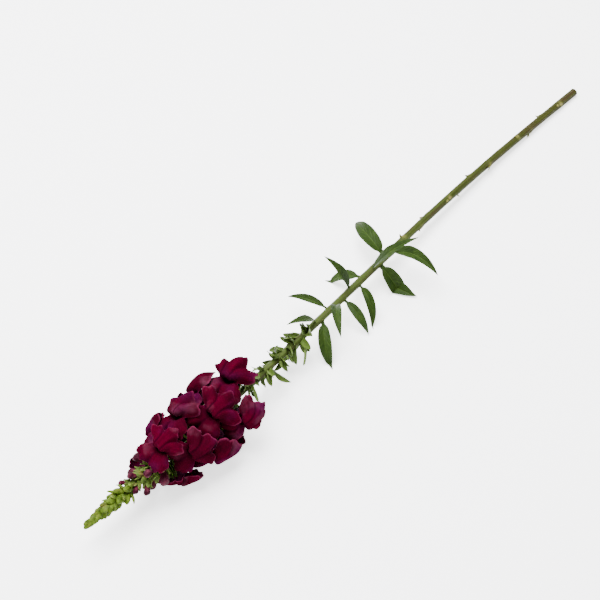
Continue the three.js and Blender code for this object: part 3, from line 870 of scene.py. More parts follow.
@dataclass(frozen=True)
class PetalFinish(Finish):
    """Velvety petals: a deep face, a paler back and tube, and fine veins that run out to the rim."""

    name: str = "velvet_petal"
    face_deep: Colour = screen(45, 2, 15)
    face_bright: Colour = screen(56, 1, 18)
    face_purple: Colour = screen(57, 5, 40)
    # painted highlight: mauve velvet sheen in patches
    face_painted_sheen: Colour = screen(88, 42, 60)
    # painted highlight: a thin paler line along the rims
    rim_highlight: Colour = screen(108, 36, 66)
    # painted shade: the face darkens to this deep in the throat
    throat: Colour = screen(22, 0, 8)
    back_tube: Colour = screen(98, 54, 78)
    back_middle: Colour = screen(68, 6, 42)
    back_rim: Colour = screen(50, 0, 26)
    vein: Colour = screen(18, 0, 6)
    # painted shade in the furrows between lobes
    furrow: Colour = screen(26, 0, 10)
    furrow_places: tuple[float, ...] = (0.0, 0.23, 0.46, 0.641, 0.819, 1.0)
    furrow_width: float = 0.028
    furrow_wander: float = 0.05

    def furrows(self, graph: Graph, around: Socket, along: Socket, place: Socket) -> Socket:
        """Returns how far each place lies in a furrow between two lobes, where shade is painted.

        Args:
            graph: The material's nodes.
            around: Share round the bloom.
            along: Share from its foot to its rim.
            place: Place on the object.

        Returns:
            Value from 0 to 1.
        """
        stops = []
        for at in self.furrow_places:
            ends = (at - self.furrow_width, 0.0), (at, 1.0), (at + self.furrow_width, 0.0)
            stops += [(share, (grey, grey, grey)) for share, grey in ends if 0 <= share <= 1]
        off = graph.math("SUBTRACT", graph.noise(place, 110.0, 1.0), 0.5)
        wander = graph.times(off, self.furrow_wander)
        deep = graph.ramp(graph.math("ADD", around, wander), stops)
        fade = graph.times(graph.remap(along, 0.5, 0.66), graph.remap(along, 0.78, 1.0, 0.85, 0.15))
        return graph.times(deep, fade)

    def paint(self, graph: Graph) -> None:
        """Paints the material.

        Args:
            graph: Its nodes.
        """
        around, along = graph.across_and_along()
        place = graph.place()
        # The face darkens towards the throat: painted shade deep inside the bloom.
        face = graph.ramp(along, [(0.34, self.throat), (0.62, self.face_deep), (1.0, self.face_deep)])
        patches = graph.math("ADD", graph.noise(place, 70.0, 2.0), graph.times(graph.kept("tone"), 0.12))
        open_share = graph.remap(along, 0.5, 0.78)
        bright = graph.times(graph.remap(patches, 0.4, 0.64), open_share)
        face = graph.mix(bright, face, self.face_bright)
        purple = graph.times(graph.remap(graph.noise(place, 38.0, 1.0), 0.5, 0.7, 0.0, 0.85), open_share)
        face = graph.mix(purple, face, self.face_purple)
        # Painted highlight: patches of mauve velvet sheen on the open face.
        painted_sheen = graph.times(graph.remap(graph.noise(place, 58.0, 2.0), 0.54, 0.74, 0.0, 0.5), open_share)
        face = graph.mix(painted_sheen, face, self.face_painted_sheen)
        # Painted shade: the face darkens in the furrows between lobes.
        face = graph.mix(self.furrows(graph, around, along, place), face, self.furrow)
        back_stops = [(0.2, self.back_tube), (0.5, self.back_middle), (0.72, self.back_rim)]
        colour = graph.mix(graph.kept("face"), graph.ramp(along, back_stops), face)
        # Painted highlight: a thin paler line along each lobe's rim.
        colour = graph.mix(graph.remap(along, 0.976, 1.0, 0.0, 0.5), colour, self.rim_highlight)
        veins = graph.lines(around, along, 150.0, 5.0)
        colour = graph.mix(graph.remap(veins, 0.54, 0.7, 0.0, 0.28), colour, self.vein)
        grain = graph.noise(place, 2600.0)
        graph.set(base_color=colour, roughness=graph.spread(grain, 0.5, 0.7), specular_ior_level=0.0)
        graph.set(sheen_weight=0.02, sheen_roughness=0.4, sheen_tint=screen(225, 70, 140))
        graph.set(subsurface_weight=0.15, subsurface_scale=0.0015, subsurface_radius=(1.0, 0.15, 0.35))
        graph.bump(graph.math("ADD", graph.times(grain, 0.3), graph.times(veins, 0.7)), 0.00025)


@dataclass(frozen=True)
class BudFinish(Finish):
    """A closed coloured bud: dusky, with patches of painted grey-pink highlight, and soft streaks along it.
    """

    name: str = "dusky_bud"
    foot: Colour = screen(84, 58, 46)
    middle: Colour = screen(70, 14, 32)
    head: Colour = screen(42, 2, 18)
    # painted highlight: grey-pink patches over the bud
    painted_highlight: Colour = screen(98, 44, 60)
    streak: Colour = screen(26, 0, 10)

    def paint(self, graph: Graph) -> None:
        """Paints the material.

        Args:
            graph: Its nodes.
        """
        around, along = graph.across_and_along()
        place = graph.place()
        colour = graph.ramp(along, [(0.1, self.foot), (0.4, self.middle), (0.6, self.head), (1.0, self.head)])
        streaks = graph.lines(around, along, 34.0, 3.0, 2.0)
        colour = graph.mix(graph.remap(streaks, 0.5, 0.7, 0.0, 0.6), colour, self.streak)
        # Painted highlight: grey-pink patches laid over the bud by noise.
        painted_highlight = graph.remap(graph.noise(place, 210.0, 2.0), 0.46, 0.72, 0.0, 0.6)
        colour = graph.mix(painted_highlight, colour, self.painted_highlight)
        grain = graph.noise(place, 1900.0, 3.0)
        graph.set(base_color=colour, roughness=graph.spread(grain, 0.42, 0.62), specular_ior_level=0.05)
        graph.set(sheen_weight=0.02, sheen_roughness=0.45, sheen_tint=screen(235, 170, 200))
        graph.set(subsurface_weight=0.12, subsurface_scale=0.002, subsurface_radius=(1.0, 0.3, 0.4))
        graph.bump(graph.math("ADD", graph.times(grain, 0.4), graph.times(streaks, 0.6)), 0.0002)


@dataclass(frozen=True)
class LeafFinish(Finish):
    """A leaf blade with a pale midrib, side veins that run forward, and a paler underside."""

    name: str = "leaf_blade"
    face: Colour = screen(38, 55, 15)
    face_deep: Colour = screen(28, 45, 11)
    under: Colour = screen(58, 76, 28)
    rib: Colour = screen(60, 80, 28)

    def paint(self, graph: Graph) -> None:
        """Paints the material.

        Args:
            graph: Its nodes.
        """
        across, along = graph.across_and_along()
        place = graph.place()
        off = graph.math("ABSOLUTE", graph.math("SUBTRACT", across, 0.5))
        face = graph.mix(graph.remap(graph.noise(place, 90.0, 3.0), 0.35, 0.68), self.face_deep, self.face)
        colour = graph.mix(graph.kept("face"), self.under, face)
        run = graph.math("SUBTRACT", along, graph.times(off, 0.4))
        veins = graph.lines(off, run, 3.0, 16.0)
        colour = graph.mix(graph.remap(veins, 0.52, 0.7, 0.0, 0.3), colour, self.rib)
        lines = graph.lines(across, along, 34.0, 2.0)
        colour = graph.mix(graph.remap(lines, 0.5, 0.7, 0.0, 0.35), colour, self.face_deep)
        rib = graph.remap(off, 0.01, 0.034, 0.5, 0.0)
        colour = graph.mix(rib, colour, self.rib)
        grain = graph.noise(place, 900.0, 3.0)
        graph.set(base_color=colour, roughness=graph.spread(grain, 0.42, 0.6), specular_ior_level=0.1)
        relief = graph.math("SUBTRACT", graph.times(lines, 0.6), rib)
        graph.bump(graph.math("ADD", relief, graph.times(grain, 0.3)), 0.00035)


@dataclass(frozen=True)
class StemFinish(Finish):
    """The stem's skin: brownish at the cut end and fresher towards the flowers, with fine ribs along it."""

    name: str = "ribbed_stem"
    base: Colour = screen(43, 42, 12)
    middle: Colour = screen(40, 47, 11)
    upper: Colour = screen(54, 67, 25)
    light: Colour = screen(67, 77, 31)
    blush: Colour = screen(52, 34, 28)
    joint: Colour = screen(96, 98, 48)
    wood: Colour = screen(104, 100, 54)
    pith: Colour = screen(158, 154, 112)
    half_length: float = 0.36

    def paint(self, graph: Graph) -> None:
        """Paints the material.

        Args:
            graph: Its nodes.
        """
        place = graph.place()
        x = graph.parts(place)[0]
        around = graph.kept("around")
        along = graph.remap(x, -self.half_length, self.half_length)
        colour = graph.ramp(along, [(0.0, self.base), (0.3, self.middle), (0.65, self.upper)])
        ribs = graph.lines(around, x, 34.0, 9.0, 2.0)
        colour = graph.mix(graph.remap(ribs, 0.48, 0.7, 0.0, 0.55), colour, self.light)
        blush = graph.lines(around, x, 6.0, 30.0, 3.0)
        colour = graph.mix(graph.remap(blush, 0.5, 0.72, 0.0, 0.6), colour, self.blush)
        healed = graph.remap(graph.noise(place, 180.0, 2.0), 0.36, 0.62, 0.15, 0.75)
        colour = graph.mix(graph.times(graph.kept("joint"), healed), colour, self.joint)
        inward = graph.kept("pith")
        cut = graph.ramp(inward, [(0.0, self.base), (0.35, self.wood), (0.75, self.wood), (1.0, self.pith)])
        colour = graph.mix(graph.remap(inward, 0.01, 0.05), colour, cut)
        grain = graph.noise(place, 1500.0, 3.0)
        graph.set(base_color=colour, roughness=graph.spread(grain, 0.44, 0.62), specular_ior_level=0.08)
        graph.set(subsurface_weight=0.08, subsurface_scale=0.002, subsurface_radius=(0.6, 1.0, 0.3))
        graph.bump(graph.math("ADD", ribs, graph.times(grain, 0.25)), 0.0004)


@dataclass(frozen=True)
class GreenFinish(Finish):
    """Young green growth, lighter towards its tip, in places blushed with pink."""

    dark: Colour
    light: Colour
    tip: Colour
    blush: Colour = screen(96, 52, 44)
    blush_share: float = 0.5

    def paint(self, graph: Graph) -> None:
        """Paints the material.

        Args:
            graph: Its nodes.
        """
        around, along = graph.across_and_along()
        place = graph.place()
        colour = graph.mix(graph.remap(graph.noise(place, 260.0, 2.0), 0.36, 0.66), self.dark, self.light)
        colour = graph.mix(graph.remap(along, 0.6, 1.0, 0.0, 0.7), colour, self.tip)
        patches = graph.remap(graph.noise(place, 130.0, 1.0), 0.54, 0.72, 0.0, self.blush_share)
        colour = graph.mix(patches, colour, self.blush)
        lines = graph.lines(around, along, 34.0, 4.0)
        graph.set(base_color=colour, roughness=graph.spread(lines, 0.46, 0.64), specular_ior_level=0.04)
        graph.set(subsurface_weight=0.15, subsurface_scale=0.002, subsurface_radius=(0.6, 1.0, 0.2))
        graph.bump(lines, 0.00025)


CALYX_GREEN = GreenFinish("calyx_green", screen(49, 65, 22), screen(80, 97, 39), screen(88, 105, 49))
BRACT_GREEN = GreenFinish(
    "bract_green", screen(49, 65, 21), screen(79, 96, 35), screen(102, 114, 50), blush_share=0.3
)
BUD_GREEN = GreenFinish(
    "young_green", screen(46, 62, 13), screen(83, 103, 27), screen(79, 99, 27), blush_share=0.3
)
SCAR_GREEN = GreenFinish(
    "healed_scar", screen(76, 78, 32), screen(106, 106, 54), screen(120, 112, 70), blush_share=0.3
)
SMALL_LEAF = LeafFinish("small_leaf", screen(70, 89, 32), screen(57, 75, 26), screen(85, 104, 49))


@dataclass(frozen=True)
class FloorFinish(Finish):
    """The pale plain surface that the stem lies on."""

    name: str = "pale_floor"
    colour: Colour = screen(244, 244, 246)
    glow: float = 1.78

    def paint(self, graph: Graph) -> None:
        """Paints the material.

        Args:
            graph: Its nodes.
        """
        grain = graph.noise(graph.place(), 60.0)
        roughness = graph.spread(grain, 0.65, 0.75)
        graph.set(base_color=self.colour, roughness=roughness, specular_ior_level=0.1)
        graph.set(emission_color=(1.0, 1.0, 1.0), emission_strength=self.glow)


# ------------ small blades


SMALL_BLADE = (6, 14)  # faces across and along


@dataclass(frozen=True)
class Blade:
    """A small pointed blade: where it starts, its direction, the way it bends and faces, and its size."""

    base: Points
    direction: Points
    bend: Points
    top: Points
    length: float
    width: float
    thickness: float = 0.45
    curve: float = 0.35
    hook: float = 0.16
    fold: float = 0.4
    roll: float = 0.0
    twist: float = 0.0
    tip: float = 0.015
    ripple: float = 0.08

    def form(self, flat: Points) -> Points:
        """Bends the flat blade into its shape.

        Args:
            flat: Vertices of the flat blade, from -1 to 1 across, along and through it.

        Returns:
            Points on the stem.
        """
        c, share, through_it = flat[:, 0], 0.5 + 0.5 * flat[:, 1], flat[:, 2]
        over = unit(self.top - (self.top @ self.direction) * self.direction)
        side = np.cross(self.direction, over)
        turn = (self.roll + self.twist * share)[:, None]
        sides, overs = side * np.cos(turn) + over * np.sin(turn), over * np.cos(turn) - side * np.sin(turn)
        half = self.width * np.maximum(0.5 * np.sin(np.pi * (0.1 + 0.9 * share)) ** 0.65, self.tip)
        lift = self.fold * half * (np.abs(c) ** 1.4 - 0.3) + self.ripple * half * np.sin(9 * share + 2 * c)
        lift = lift + through_it * 0.5 * self.thickness * (1 - 0.55 * c * c) * (1 - 0.5 * share)
        bent = self.length * (self.curve * share**2 + self.hook * share**4)
        ahead = self.length * (share - self.hook * share**5)
        middle = self.base + np.outer(ahead, self.direction) + np.outer(bent, self.bend)
        return pressed(middle + sides * (c * half)[:, None] + overs * lift[:, None])


# ------------ the stem


@dataclass
class Stem:
    """The ribbed stem from its cut end to its tip, swollen a little where leaves grow or grew."""

    line: StemLine
    joints: Sequence[tuple[float, float]]
    bare_joints: Sequence[tuple[float, float]]
    columns: int = 48
    rings: tuple[int, int] = (20, 21)
    ribs: int = 8
    rib_depth: float = 0.035
    rib_turn: float = 0.01
    unevenness: float = 0.012
    swelling: float = 0.12
    swelling_reach: float = 3.0
    ring_reach: float = 2.1
    bark: float = 0.16
    pith: float = 0.3
    hollow: float = 0.0016
    level: float = 0.001

    def rod(self) -> Piece:
        """Models a straight rod of radius 1 along Z, from -1 to 1, with rings and a worked cut face.

        Returns:
            The rod.
        """
        add = bpy.ops.mesh.primitive_cylinder_add
        obj = new_primitive("stem_axis", add, vertices=self.columns, radius=1.0, depth=2.0)
        for count in self.rings:
            ends = corners(obj)[np.array([edge.vertices[:] for edge in obj.data.edges])]
            lengthwise = np.abs(ends[:, 0, 2] - ends[:, 1, 2]) > self.level
            with editing(obj, Element.EDGE, lengthwise):
                bpy.ops.mesh.subdivide(number_cuts=count - 1)
        with editing(obj, Element.FACE, facing(obj, (0.0, 0.0, -1.0), 0.9)):
            bpy.ops.mesh.inset(thickness=self.bark)
            bpy.ops.mesh.inset(thickness=self.pith)
            bpy.ops.transform.translate(value=(0.0, 0.0, self.hollow))
            bpy.ops.mesh.inset(thickness=self.pith)
        return obj

    def radii(self, along: Shares, angle: Shares) -> Shares:
        """Returns the stem's radius along and round it.

        Args:
            along: Distances from the cut end.
            angle: Angles round the stem.

        Returns:
            One radius for each.
        """
        radius = np.array([self.line.radius(value) for value in along])
        ribbed = 1 + self.rib_depth * np.cos(self.ribs * angle + self.rib_turn * along)
        bumps = [self.beside_joint(along, angle, joint, self.swelling_reach) for joint in self.joints]
        swollen = 1 + self.swelling * np.minimum(np.sum(bumps, axis=0), 1.0)
        return radius * ribbed * swollen * (1 + self.unevenness * np.sin(along * 0.11 + 2 * angle))

    @staticmethod
    def beside_joint(along: Shares, angle: Shares, joint: tuple[float, float], reach: float) -> Shares:
        """Returns how near the skin is to a joint, most on the side where its leaf grows.

        Args:
            along: Distances from the cut end.
            angle: Angles round the stem.
            joint: The joint's own distance from the cut end and azimuth.
            reach: How far it reaches along the stem.

        Returns:
            Shares from 0, far away, to 1 at the leaf's foot.
        """
        place, azimuth = joint
        turned = 0.5 + 0.5 * np.cos(angle - math.radians(azimuth))
        return np.exp(-(((along - place) / reach) ** 2)) * (0.1 + 0.9 * turned**4)

    def bent(self, rod: Points) -> Points:
        """Bends the straight rod along the stem's line.

        Args:
            rod: Vertices of the rod.

        Returns:
            Points on the stem.
        """
        along = (rod[:, 2] + 1) / 2 * self.line.length
        angle, share = np.arctan2(rod[:, 1], rod[:, 0]), np.hypot(rod[:, 0], rod[:, 1])
        radius = self.radii(along, angle) * share
        points = np.empty_like(rod)
        for value in np.unique(along):
            ring = along == value
            _, across, over = self.line.directions(float(value))
            spokes = np.outer(np.cos(angle[ring]), across) + np.outer(np.sin(angle[ring]), over)
            points[ring] = self.line.point(float(value)) + spokes * radius[ring, None]
        return points

    def build(self, material: Material) -> None:
        """Makes the stem.

        Args:
            material: Its finish.
        """
        obj = self.rod()
        rod = corners(obj)
        inward = 1 - np.hypot(rod[:, 0], rod[:, 1])
        keep_value(obj, "pith", np.where(rod[:, 2] < -0.99, np.clip(inward, 0, 1), 0.0))
        angle = np.arctan2(rod[:, 1], rod[:, 0])
        keep_value(obj, "around", angle / (2 * np.pi) + 0.5)
        along = (rod[:, 2] + 1) / 2 * self.line.length
        marks = [self.beside_joint(along, angle, joint, self.ring_reach) for joint in self.bare_joints]
        keep_value(obj, "joint", np.max(marks, axis=0))
        set_corners(obj, in_frame(self.bent(rod)))
        finish_piece(obj, material, Slot.STEM, ["stem"], sharp=50.0)


@dataclass
class Scars(Spiral):
    """Raised scars where the lower leaves were stripped off, each with a hollow face and a thin stub."""

    count: int = 12
    first: float = 690.0
    last: float = 425.0
    place_sway: float = 5.0
    seed: int = 1100
    spiral_start: float = 40.0
    azimuth_sway: float = 10.0
    across: float = 1.9
    out: float = 1.7
    along: float = 2.6
    climb: float = 0.5
    sunk: float = 0.5
    face_from: float = 0.86
    rim: float = 0.16
    depth: float = -0.3
    columns: int = 20
    rows: int = 12
    stub_seed: int = 1500
    stub_back: float = 1.5
    stub_turn: float = 25.0
    stub_lean: tuple[float, float] = (35.0, 80.0)
    stub_length: tuple[float, float] = (5.1, 10.1)
    stub_width: float = 2.8
    stub_thickness: float = 1.4
    stub_bend: float = 0.9

    def pattern(self) -> Pattern:
        """Models one scar: a ball whose outer face is cut back to a rim round a hollow.

        Returns:
            The scar.
        """
        obj = new_ball("scar_pattern", self.columns, self.rows)
        with editing(obj, Element.FACE, facing(obj, (0.0, 0.0, 1.0), self.face_from)):
            bpy.ops.mesh.inset(thickness=self.rim)
            bpy.ops.transform.translate(value=(0.0, 0.0, self.depth))
        return Pattern(obj)

    def leaf_stub(self, i: int, back: float, azimuth: float) -> Blade:
        """Works out the thin stub that a stripped leaf left at its scar.

        Args:
            i: Its number, from 0.
            back: Distance back from the tip.
            azimuth: Degrees about the stem.

        Returns:
            The stub.
        """
        draws = Draws(self.stub_seed + i)
        turned = azimuth + draws.strayed(self.stub_turn)
        seat = self.line.seat(back - self.stub_back, turned, draws.between(*self.stub_lean), 0.0)
        length = draws.between(*self.stub_length)
        bend = seat.up * draws.strayed(self.stub_bend)
        width, thickness = self.stub_width, self.stub_thickness
        return Blade(seat.foot, seat.forward, bend, seat.up, length, width, thickness=thickness)

    def build(self, blade: Pattern, material: Material) -> None:
        """Makes the scars and their stubs.

        Args:
            blade: The small flat blade.
            material: Their finish.
        """
        pattern = self.pattern()
        parts = []
        for i, (back, azimuth) in enumerate(self.places()):
            seat = self.line.seat(back, azimuth, 90.0, 0.0)
            centre = self.line.beside(back, azimuth, seat, -self.sunk)

            def form(ball: Points, seat: Seat = seat, centre: Points = centre) -> Points:
                """Presses the ball into a scar.

                Args:
                    ball: Vertices of the ball.
                    seat: Where the scar is.
                    centre: Its middle.

                Returns:
                    Points on the stem.
                """
                out = self.out * ball[:, 2]
                ahead = self.along * ball[:, 1] + self.climb * np.maximum(out, 0)
                spread = np.outer(self.across * ball[:, 0], seat.side)
                return centre + spread + np.outer(out, seat.outward) + np.outer(ahead, seat.up)

            parts.append(pattern.copy(f"scar_{i}", form))
            parts.append(blade.copy(f"stub_{i}", self.leaf_stub(i, back, azimuth).form))
        pattern.discard()
        finish_piece(joined("leaf_scars", parts), material, Slot.STEM, ["stem"])


# ------------ leaves


@dataclass
class UpperLeaves(Spiral):
    """The small curled leaves of the upper stem, each with a tuft of tiny ones in its axil."""

    count: int = 18
    first: float = 278.0
    last: float = 186.0
    place_sway: float = 1.5
    seed: int = 900
    spiral_start: float = 75.0
    azimuth_sway: float = 12.0
    lean: tuple[float, float] = (72.0, 40.0)
    length: tuple[float, float] = (26.0, 13.0)
    length_share: tuple[float, float] = (0.85, 1.15)
    longer: tuple[float, float] = (0.95, 1.4)
    slimness: float = 0.35
    curve: float = 0.5
    curl_sway: float = 0.9
    side_sway: float = 0.7
    roll_sway: float = 1.2
    twist_sway: float = 1.0
    shape_seed: int = 1400
    tuft_back: float = 3.0
    tuft_turn: float = 24.0
    tuft_lean: tuple[float, float] = (42.0, 70.0)
    tuft_length: tuple[float, float] = (0.5, 0.8125)
    tuft_slimness: float = 0.432
    tuft_thickness: float = 0.35
    tuft_curl: float = 0.5
    extra: int = 2
    extra_size: tuple[float, float] = (0.7, 1.15)
    extra_sway: float = 2.4

    def blades(self, i: int) -> list[Blade]:
        """Works out one leaf and its tuft.

        Args:
            i: Its number, from 0.

        Returns:
            The leaf, and then its tuft.
        """
        draws, back, azimuth = self.start(i)
        seat = self.line.seat(back, azimuth, lerp(*self.lean, draws.draw()), 0.0)
        length = lerp(*self.length, (i / (self.count - 1)) ** 0.7) * draws.between(*self.length_share)
        bend = seat.up * draws.strayed(self.curl_sway)
        more = Draws(self.shape_seed + i)
        bend = bend + seat.side * more.strayed(self.side_sway)
        grown, width = length * more.between(*self.longer), length * self.slimness
        roll, twist = more.strayed(self.roll_sway), more.strayed(self.twist_sway)
        shape = {"curve": self.curve, "roll": roll, "twist": twist}
        made = [Blade(seat.foot, seat.forward, bend, seat.up, grown, width, **shape)]
        made += [self.tuft(draws, back, azimuth + turn * self.tuft_turn, length) for turn in (-1, 1)]
        for _ in range(self.extra):
            turned = azimuth + more.strayed(self.extra_sway * self.tuft_turn)
            size = more.between(*self.extra_size)
            made.append(self.tuft(more, back + more.strayed(self.extra_sway), turned, size * length))
        return made

    def tuft(self, draws: Draws, back: float, azimuth: float, length: float) -> Blade:
        """Works out one tiny leaf of a tuft.

        Args:
            draws: Where its shape is drawn from.
            back: Distance back from the tip.
            azimuth: Degrees about the stem.
            length: Length of the leaf over it.

        Returns:
            The tiny leaf.
        """
        seat = self.line.seat(back - self.tuft_back, azimuth, lerp(*self.tuft_lean, draws.draw()), 0.0)
        small = length * lerp(*self.tuft_length, draws.draw())
        bend, width = seat.outward * self.tuft_curl, small * self.tuft_slimness
        shape = {"thickness": self.tuft_thickness, "roll": draws.strayed(self.roll_sway)}
        return Blade(seat.foot, seat.forward, bend, seat.up, small, width, **shape)

    def build(self, pattern: Pattern, material: Material) -> None:
        """Makes the small leaves.

        Args:
            pattern: The small flat blade.
            material: Their finish.
        """
        blades = [blade for i in range(self.count) for blade in self.blades(i)]
        parts = [pattern.copy(f"upper_leaf_{k}", blade.form) for k, blade in enumerate(blades)]
        finish_piece(joined("upper_leaves", parts), material, Slot.LEAF, ["stem"])


@dataclass(frozen=True)
class LeafTraits:
    """All that is drawn for one large leaf."""

    back: float
    azimuth: float
    lean: float
    length: float
    width: float
    droop: float
    twist: float
    phase: float
    rise: float


@dataclass
class LargeLeaves(Spiral):
    """The lance-shaped leaves of the middle of the stem."""

    count: int = 12
    first: float = 408.0
    last: float = 286.0
    place_sway: float = 3.0
    seed: int = 700
    spiral_start: float = 20.0
    azimuth_sway: float = 12.0
    sides: tuple[float, float] = (190.0, 350.0)
    bent_share: float = 0.15
    lean: tuple[float, float] = (95.0, 55.0)
    lean_sway: float = 18.0
    length: tuple[float, float] = (58.0, 38.0)
    length_share: tuple[float, float] = (0.8, 1.25)
    width: tuple[float, float] = (16.0, 11.0)
    width_share: tuple[float, float] = (0.62, 1.1)
    rise: tuple[float, float] = (0.1, 0.6)
    droop: tuple[float, float] = (1.0, 2.0)
    twist_sway: float = 45.0
    solid_thickness: float = 0.9
    thickness: float = 0.5
    floor: float = 1.2
    steps: int = 24
    fold: float = 0.32
    finer_fold: tuple[float, float] = (0.25, 0.8)
    wave: float = 0.12
    waves: float = 1.6
    ripple: float = 0.03
    quilt: float = 0.04
    groove: float = 0.25
    stalk: float = 0.12
    finer_stalk: float = 0.3
    tip: float = 0.02
    root: float = 1.3
    sickle: float = 0.17
    columns: int = 18
    rows: int = 54

    def start(self, i: int) -> tuple[Draws, float, float]:
        """Starts the draws for one leaf, bent to the nearer side where it would grow downward.

        Args:
            i: Its number, from 0.

        Returns:
            The draws, its distance back from the tip and its azimuth.
        """
        draws, back, azimuth = super().start(i)
        left, right = self.sides
        turned = azimuth % 360
        if left <= turned <= right:
            turned = lerp(left if turned < (left + right) / 2 else right, turned, self.bent_share)
        return draws, back, turned

    def traits(self, i: int) -> LeafTraits:
        """Draws one leaf.

        Args:
            i: Its number, from 0.

        Returns:
            What was drawn for it.
        """
        draws, back, azimuth = self.start(i)
        share = i / (self.count - 1)
        lean = lerp(*self.lean, share) + draws.strayed(self.lean_sway)
        length = lerp(*self.length, share) * draws.between(*self.length_share)
        width = lerp(*self.width, share) * draws.between(*self.width_share)
        droop, twist, phase = draws.between(*self.droop), draws.strayed(self.twist_sway), draws.draw()
        rise = draws.between(*self.rise)
        return LeafTraits(back, azimuth, lean, length, width, droop, twist, phase, rise)

    def midrib(self, start: Points, direction: Points, traits: LeafTraits) -> Points:
        """Follows a leaf's midrib, which rises, arches over and bends to lie on the surface.

        Args:
            start: Its first point.
            direction: The way it starts.
            traits: What was drawn for the leaf.

        Returns:
            Points along it, at even steps.
        """
        points, heading = [start], direction.copy()
        heading[2] += traits.rise
        step = traits.length / self.steps
        for _ in range(self.steps):
            heading[2] -= traits.droop / self.steps
            heading = unit(heading)
            if points[-1][2] + heading[2] * step < self.floor:
                heading[2] = (self.floor - points[-1][2]) / step
            heading = unit(heading)
            points.append(points[-1] + heading * step)
        return np.array(points)

    def breadth(self, share: Shares) -> Shares:
        """Returns the half width of a lance-shaped leaf, as a share of its widest.

        Args:
            share: Shares along the leaf.

        Returns:
            Shares from 0 to 1.
        """
        body = np.abs(np.sin(np.pi * np.clip(share, 0, 1) ** 0.78)) ** 0.92
        body = body * (0.4 + 0.6 * ease(0.0, 0.15, share))
        return np.maximum(np.maximum(self.finer_stalk * (1 - share), body), self.tip)

    def axes(self, traits: LeafTraits, seat: Seat, heading: Points, share: Shares) -> tuple[Points, Points]:
        """Returns the directions across and over a blade whose midrib heads a given way.

        Args:
            traits: What was drawn for the leaf.
            seat: Where it grows.
            heading: The way its midrib heads at each vertex.
            share: Shares along it.

        Returns:
            The two directions.
        """
        across = np.cross(heading, [0.0, 0.0, 1.0])
        across[np.linalg.norm(across, axis=1) < 0.2] = seat.side
        across = unit(across)
        turn = (math.radians(traits.twist) * (0.4 + 0.6 * np.clip(share, 0, 1)))[:, None]
        across = across * np.cos(turn) + np.cross(heading, across) * np.sin(turn)
        return across, unit(np.cross(across, heading))

    def form(self, traits: LeafTraits, seat: Seat, flat: Points) -> Points:
        """Bends the flat blade into one leaf.

        Args:
            traits: What was drawn for the leaf.
            seat: Where it grows.
            flat: Vertices of the flat blade, from -1 to 1 across, along and through it.

        Returns:
            Points on the stem.
        """
        c, share, through_it = flat[:, 0], 0.5 + 0.5 * flat[:, 1], flat[:, 2]
        start = self.line.beside(traits.back, traits.azimuth, seat, GAP + self.foot_reach(traits, seat))
        line = self.midrib(start, seat.forward, traits)
        stations = np.repeat(line[:, None, :], len(share), axis=1)
        nudge = 0.5 / self.steps
        heading = unit(through(stations, share + nudge) - through(stations, share - nudge))
        across, over = self.axes(traits, seat, heading, share)
        half = 0.5 * traits.width * self.breadth(share)
        wave = self.wave * half * np.sin(2 * np.pi * (self.waves * share + traits.phase))
        ripple = self.ripple * half * np.sin(2 * np.pi * (5.3 * share + 2 * traits.phase + 0.2 * c)) * c**2
        quilt = self.quilt * half * np.cos(18 * np.pi * (share - 0.27 * np.abs(c)))
        quilt = quilt * np.sin(np.pi * np.abs(c))
        groove = -self.groove * np.exp(-((c / 0.07) ** 2)) * ease(1.0, 0.5, share)
        fold = lerp(*self.finer_fold, 7 * traits.phase % 1) * half * np.abs(c) ** 1.25
        lift = fold + c * wave + ripple + quilt + groove
        lift = lift + through_it * 0.5 * self.thickness * (1 - 0.5 * c * c)
        bow = self.sickle * traits.length * math.sin(2 * math.pi * traits.phase) * (1.6 * share - 0.9) * share
        points = through(stations, share) + across * (c * half + bow)[:, None] + over * lift[:, None]
        points[:, 2] = np.maximum(points[:, 2], self.floor + 0.5 * self.thickness * (through_it - 1))
        root = self.root + self.foot_reach(traits, seat)
        return points - np.outer(root * ease(0.08, 0.0, share), seat.outward)

    def foot_reach(self, traits: LeafTraits, seat: Seat) -> float:
        """Returns how far the corners of the solid leaf's foot reach in towards the stem.

        Args:
            traits: What was drawn for the leaf.
            seat: Where it grows.

        Returns:
            The reach in millimetres.
        """
        start = self.line.beside(traits.back, traits.azimuth, seat, 0.0)
        line = self.midrib(start, seat.forward, traits)
        across, over = self.axes(traits, seat, unit(line[1:2] - line[:1]), np.zeros(1))
        half = 0.5 * traits.width * self.stalk
        wave = self.wave * half * math.sin(2 * math.pi * traits.phase)
        reaches = []
        for s, t in ((-1, -1), (-1, 1), (1, -1), (1, 1)):
            rise = self.fold * half + s * wave + t * self.solid_thickness / 2
            reaches.append(-float((across[0] * s * half + over[0] * rise) @ seat.outward))
        return max(reaches)

    def build(self, material: Material) -> None:
        """Makes each leaf.

        Args:
            material: Their finish.
        """
        pattern = blade_pattern(self.columns, self.rows)
        for i in range(self.count):
            traits = self.traits(i)
            seat = self.line.seat(traits.back, traits.azimuth, traits.lean, 0.0)
            name = f"leaf_{i + 1:02d}"
            obj = pattern.copy(f"{name}_blade", lambda flat, t=traits, s=seat: self.form(t, s, flat))
            finish_piece(obj, material, Slot.LEAF, [name])
        pattern.discard()


# ------------ blooms


@dataclass(frozen=True)
class BloomTraits:
    """All that is drawn for one bloom."""

    back: float
    azimuth: float
    lean: float
    roll: float
    scale: float
    opening: float
    lobes: tuple[float, ...]
    bends: tuple[float, ...]
    phase: float
    tone: float


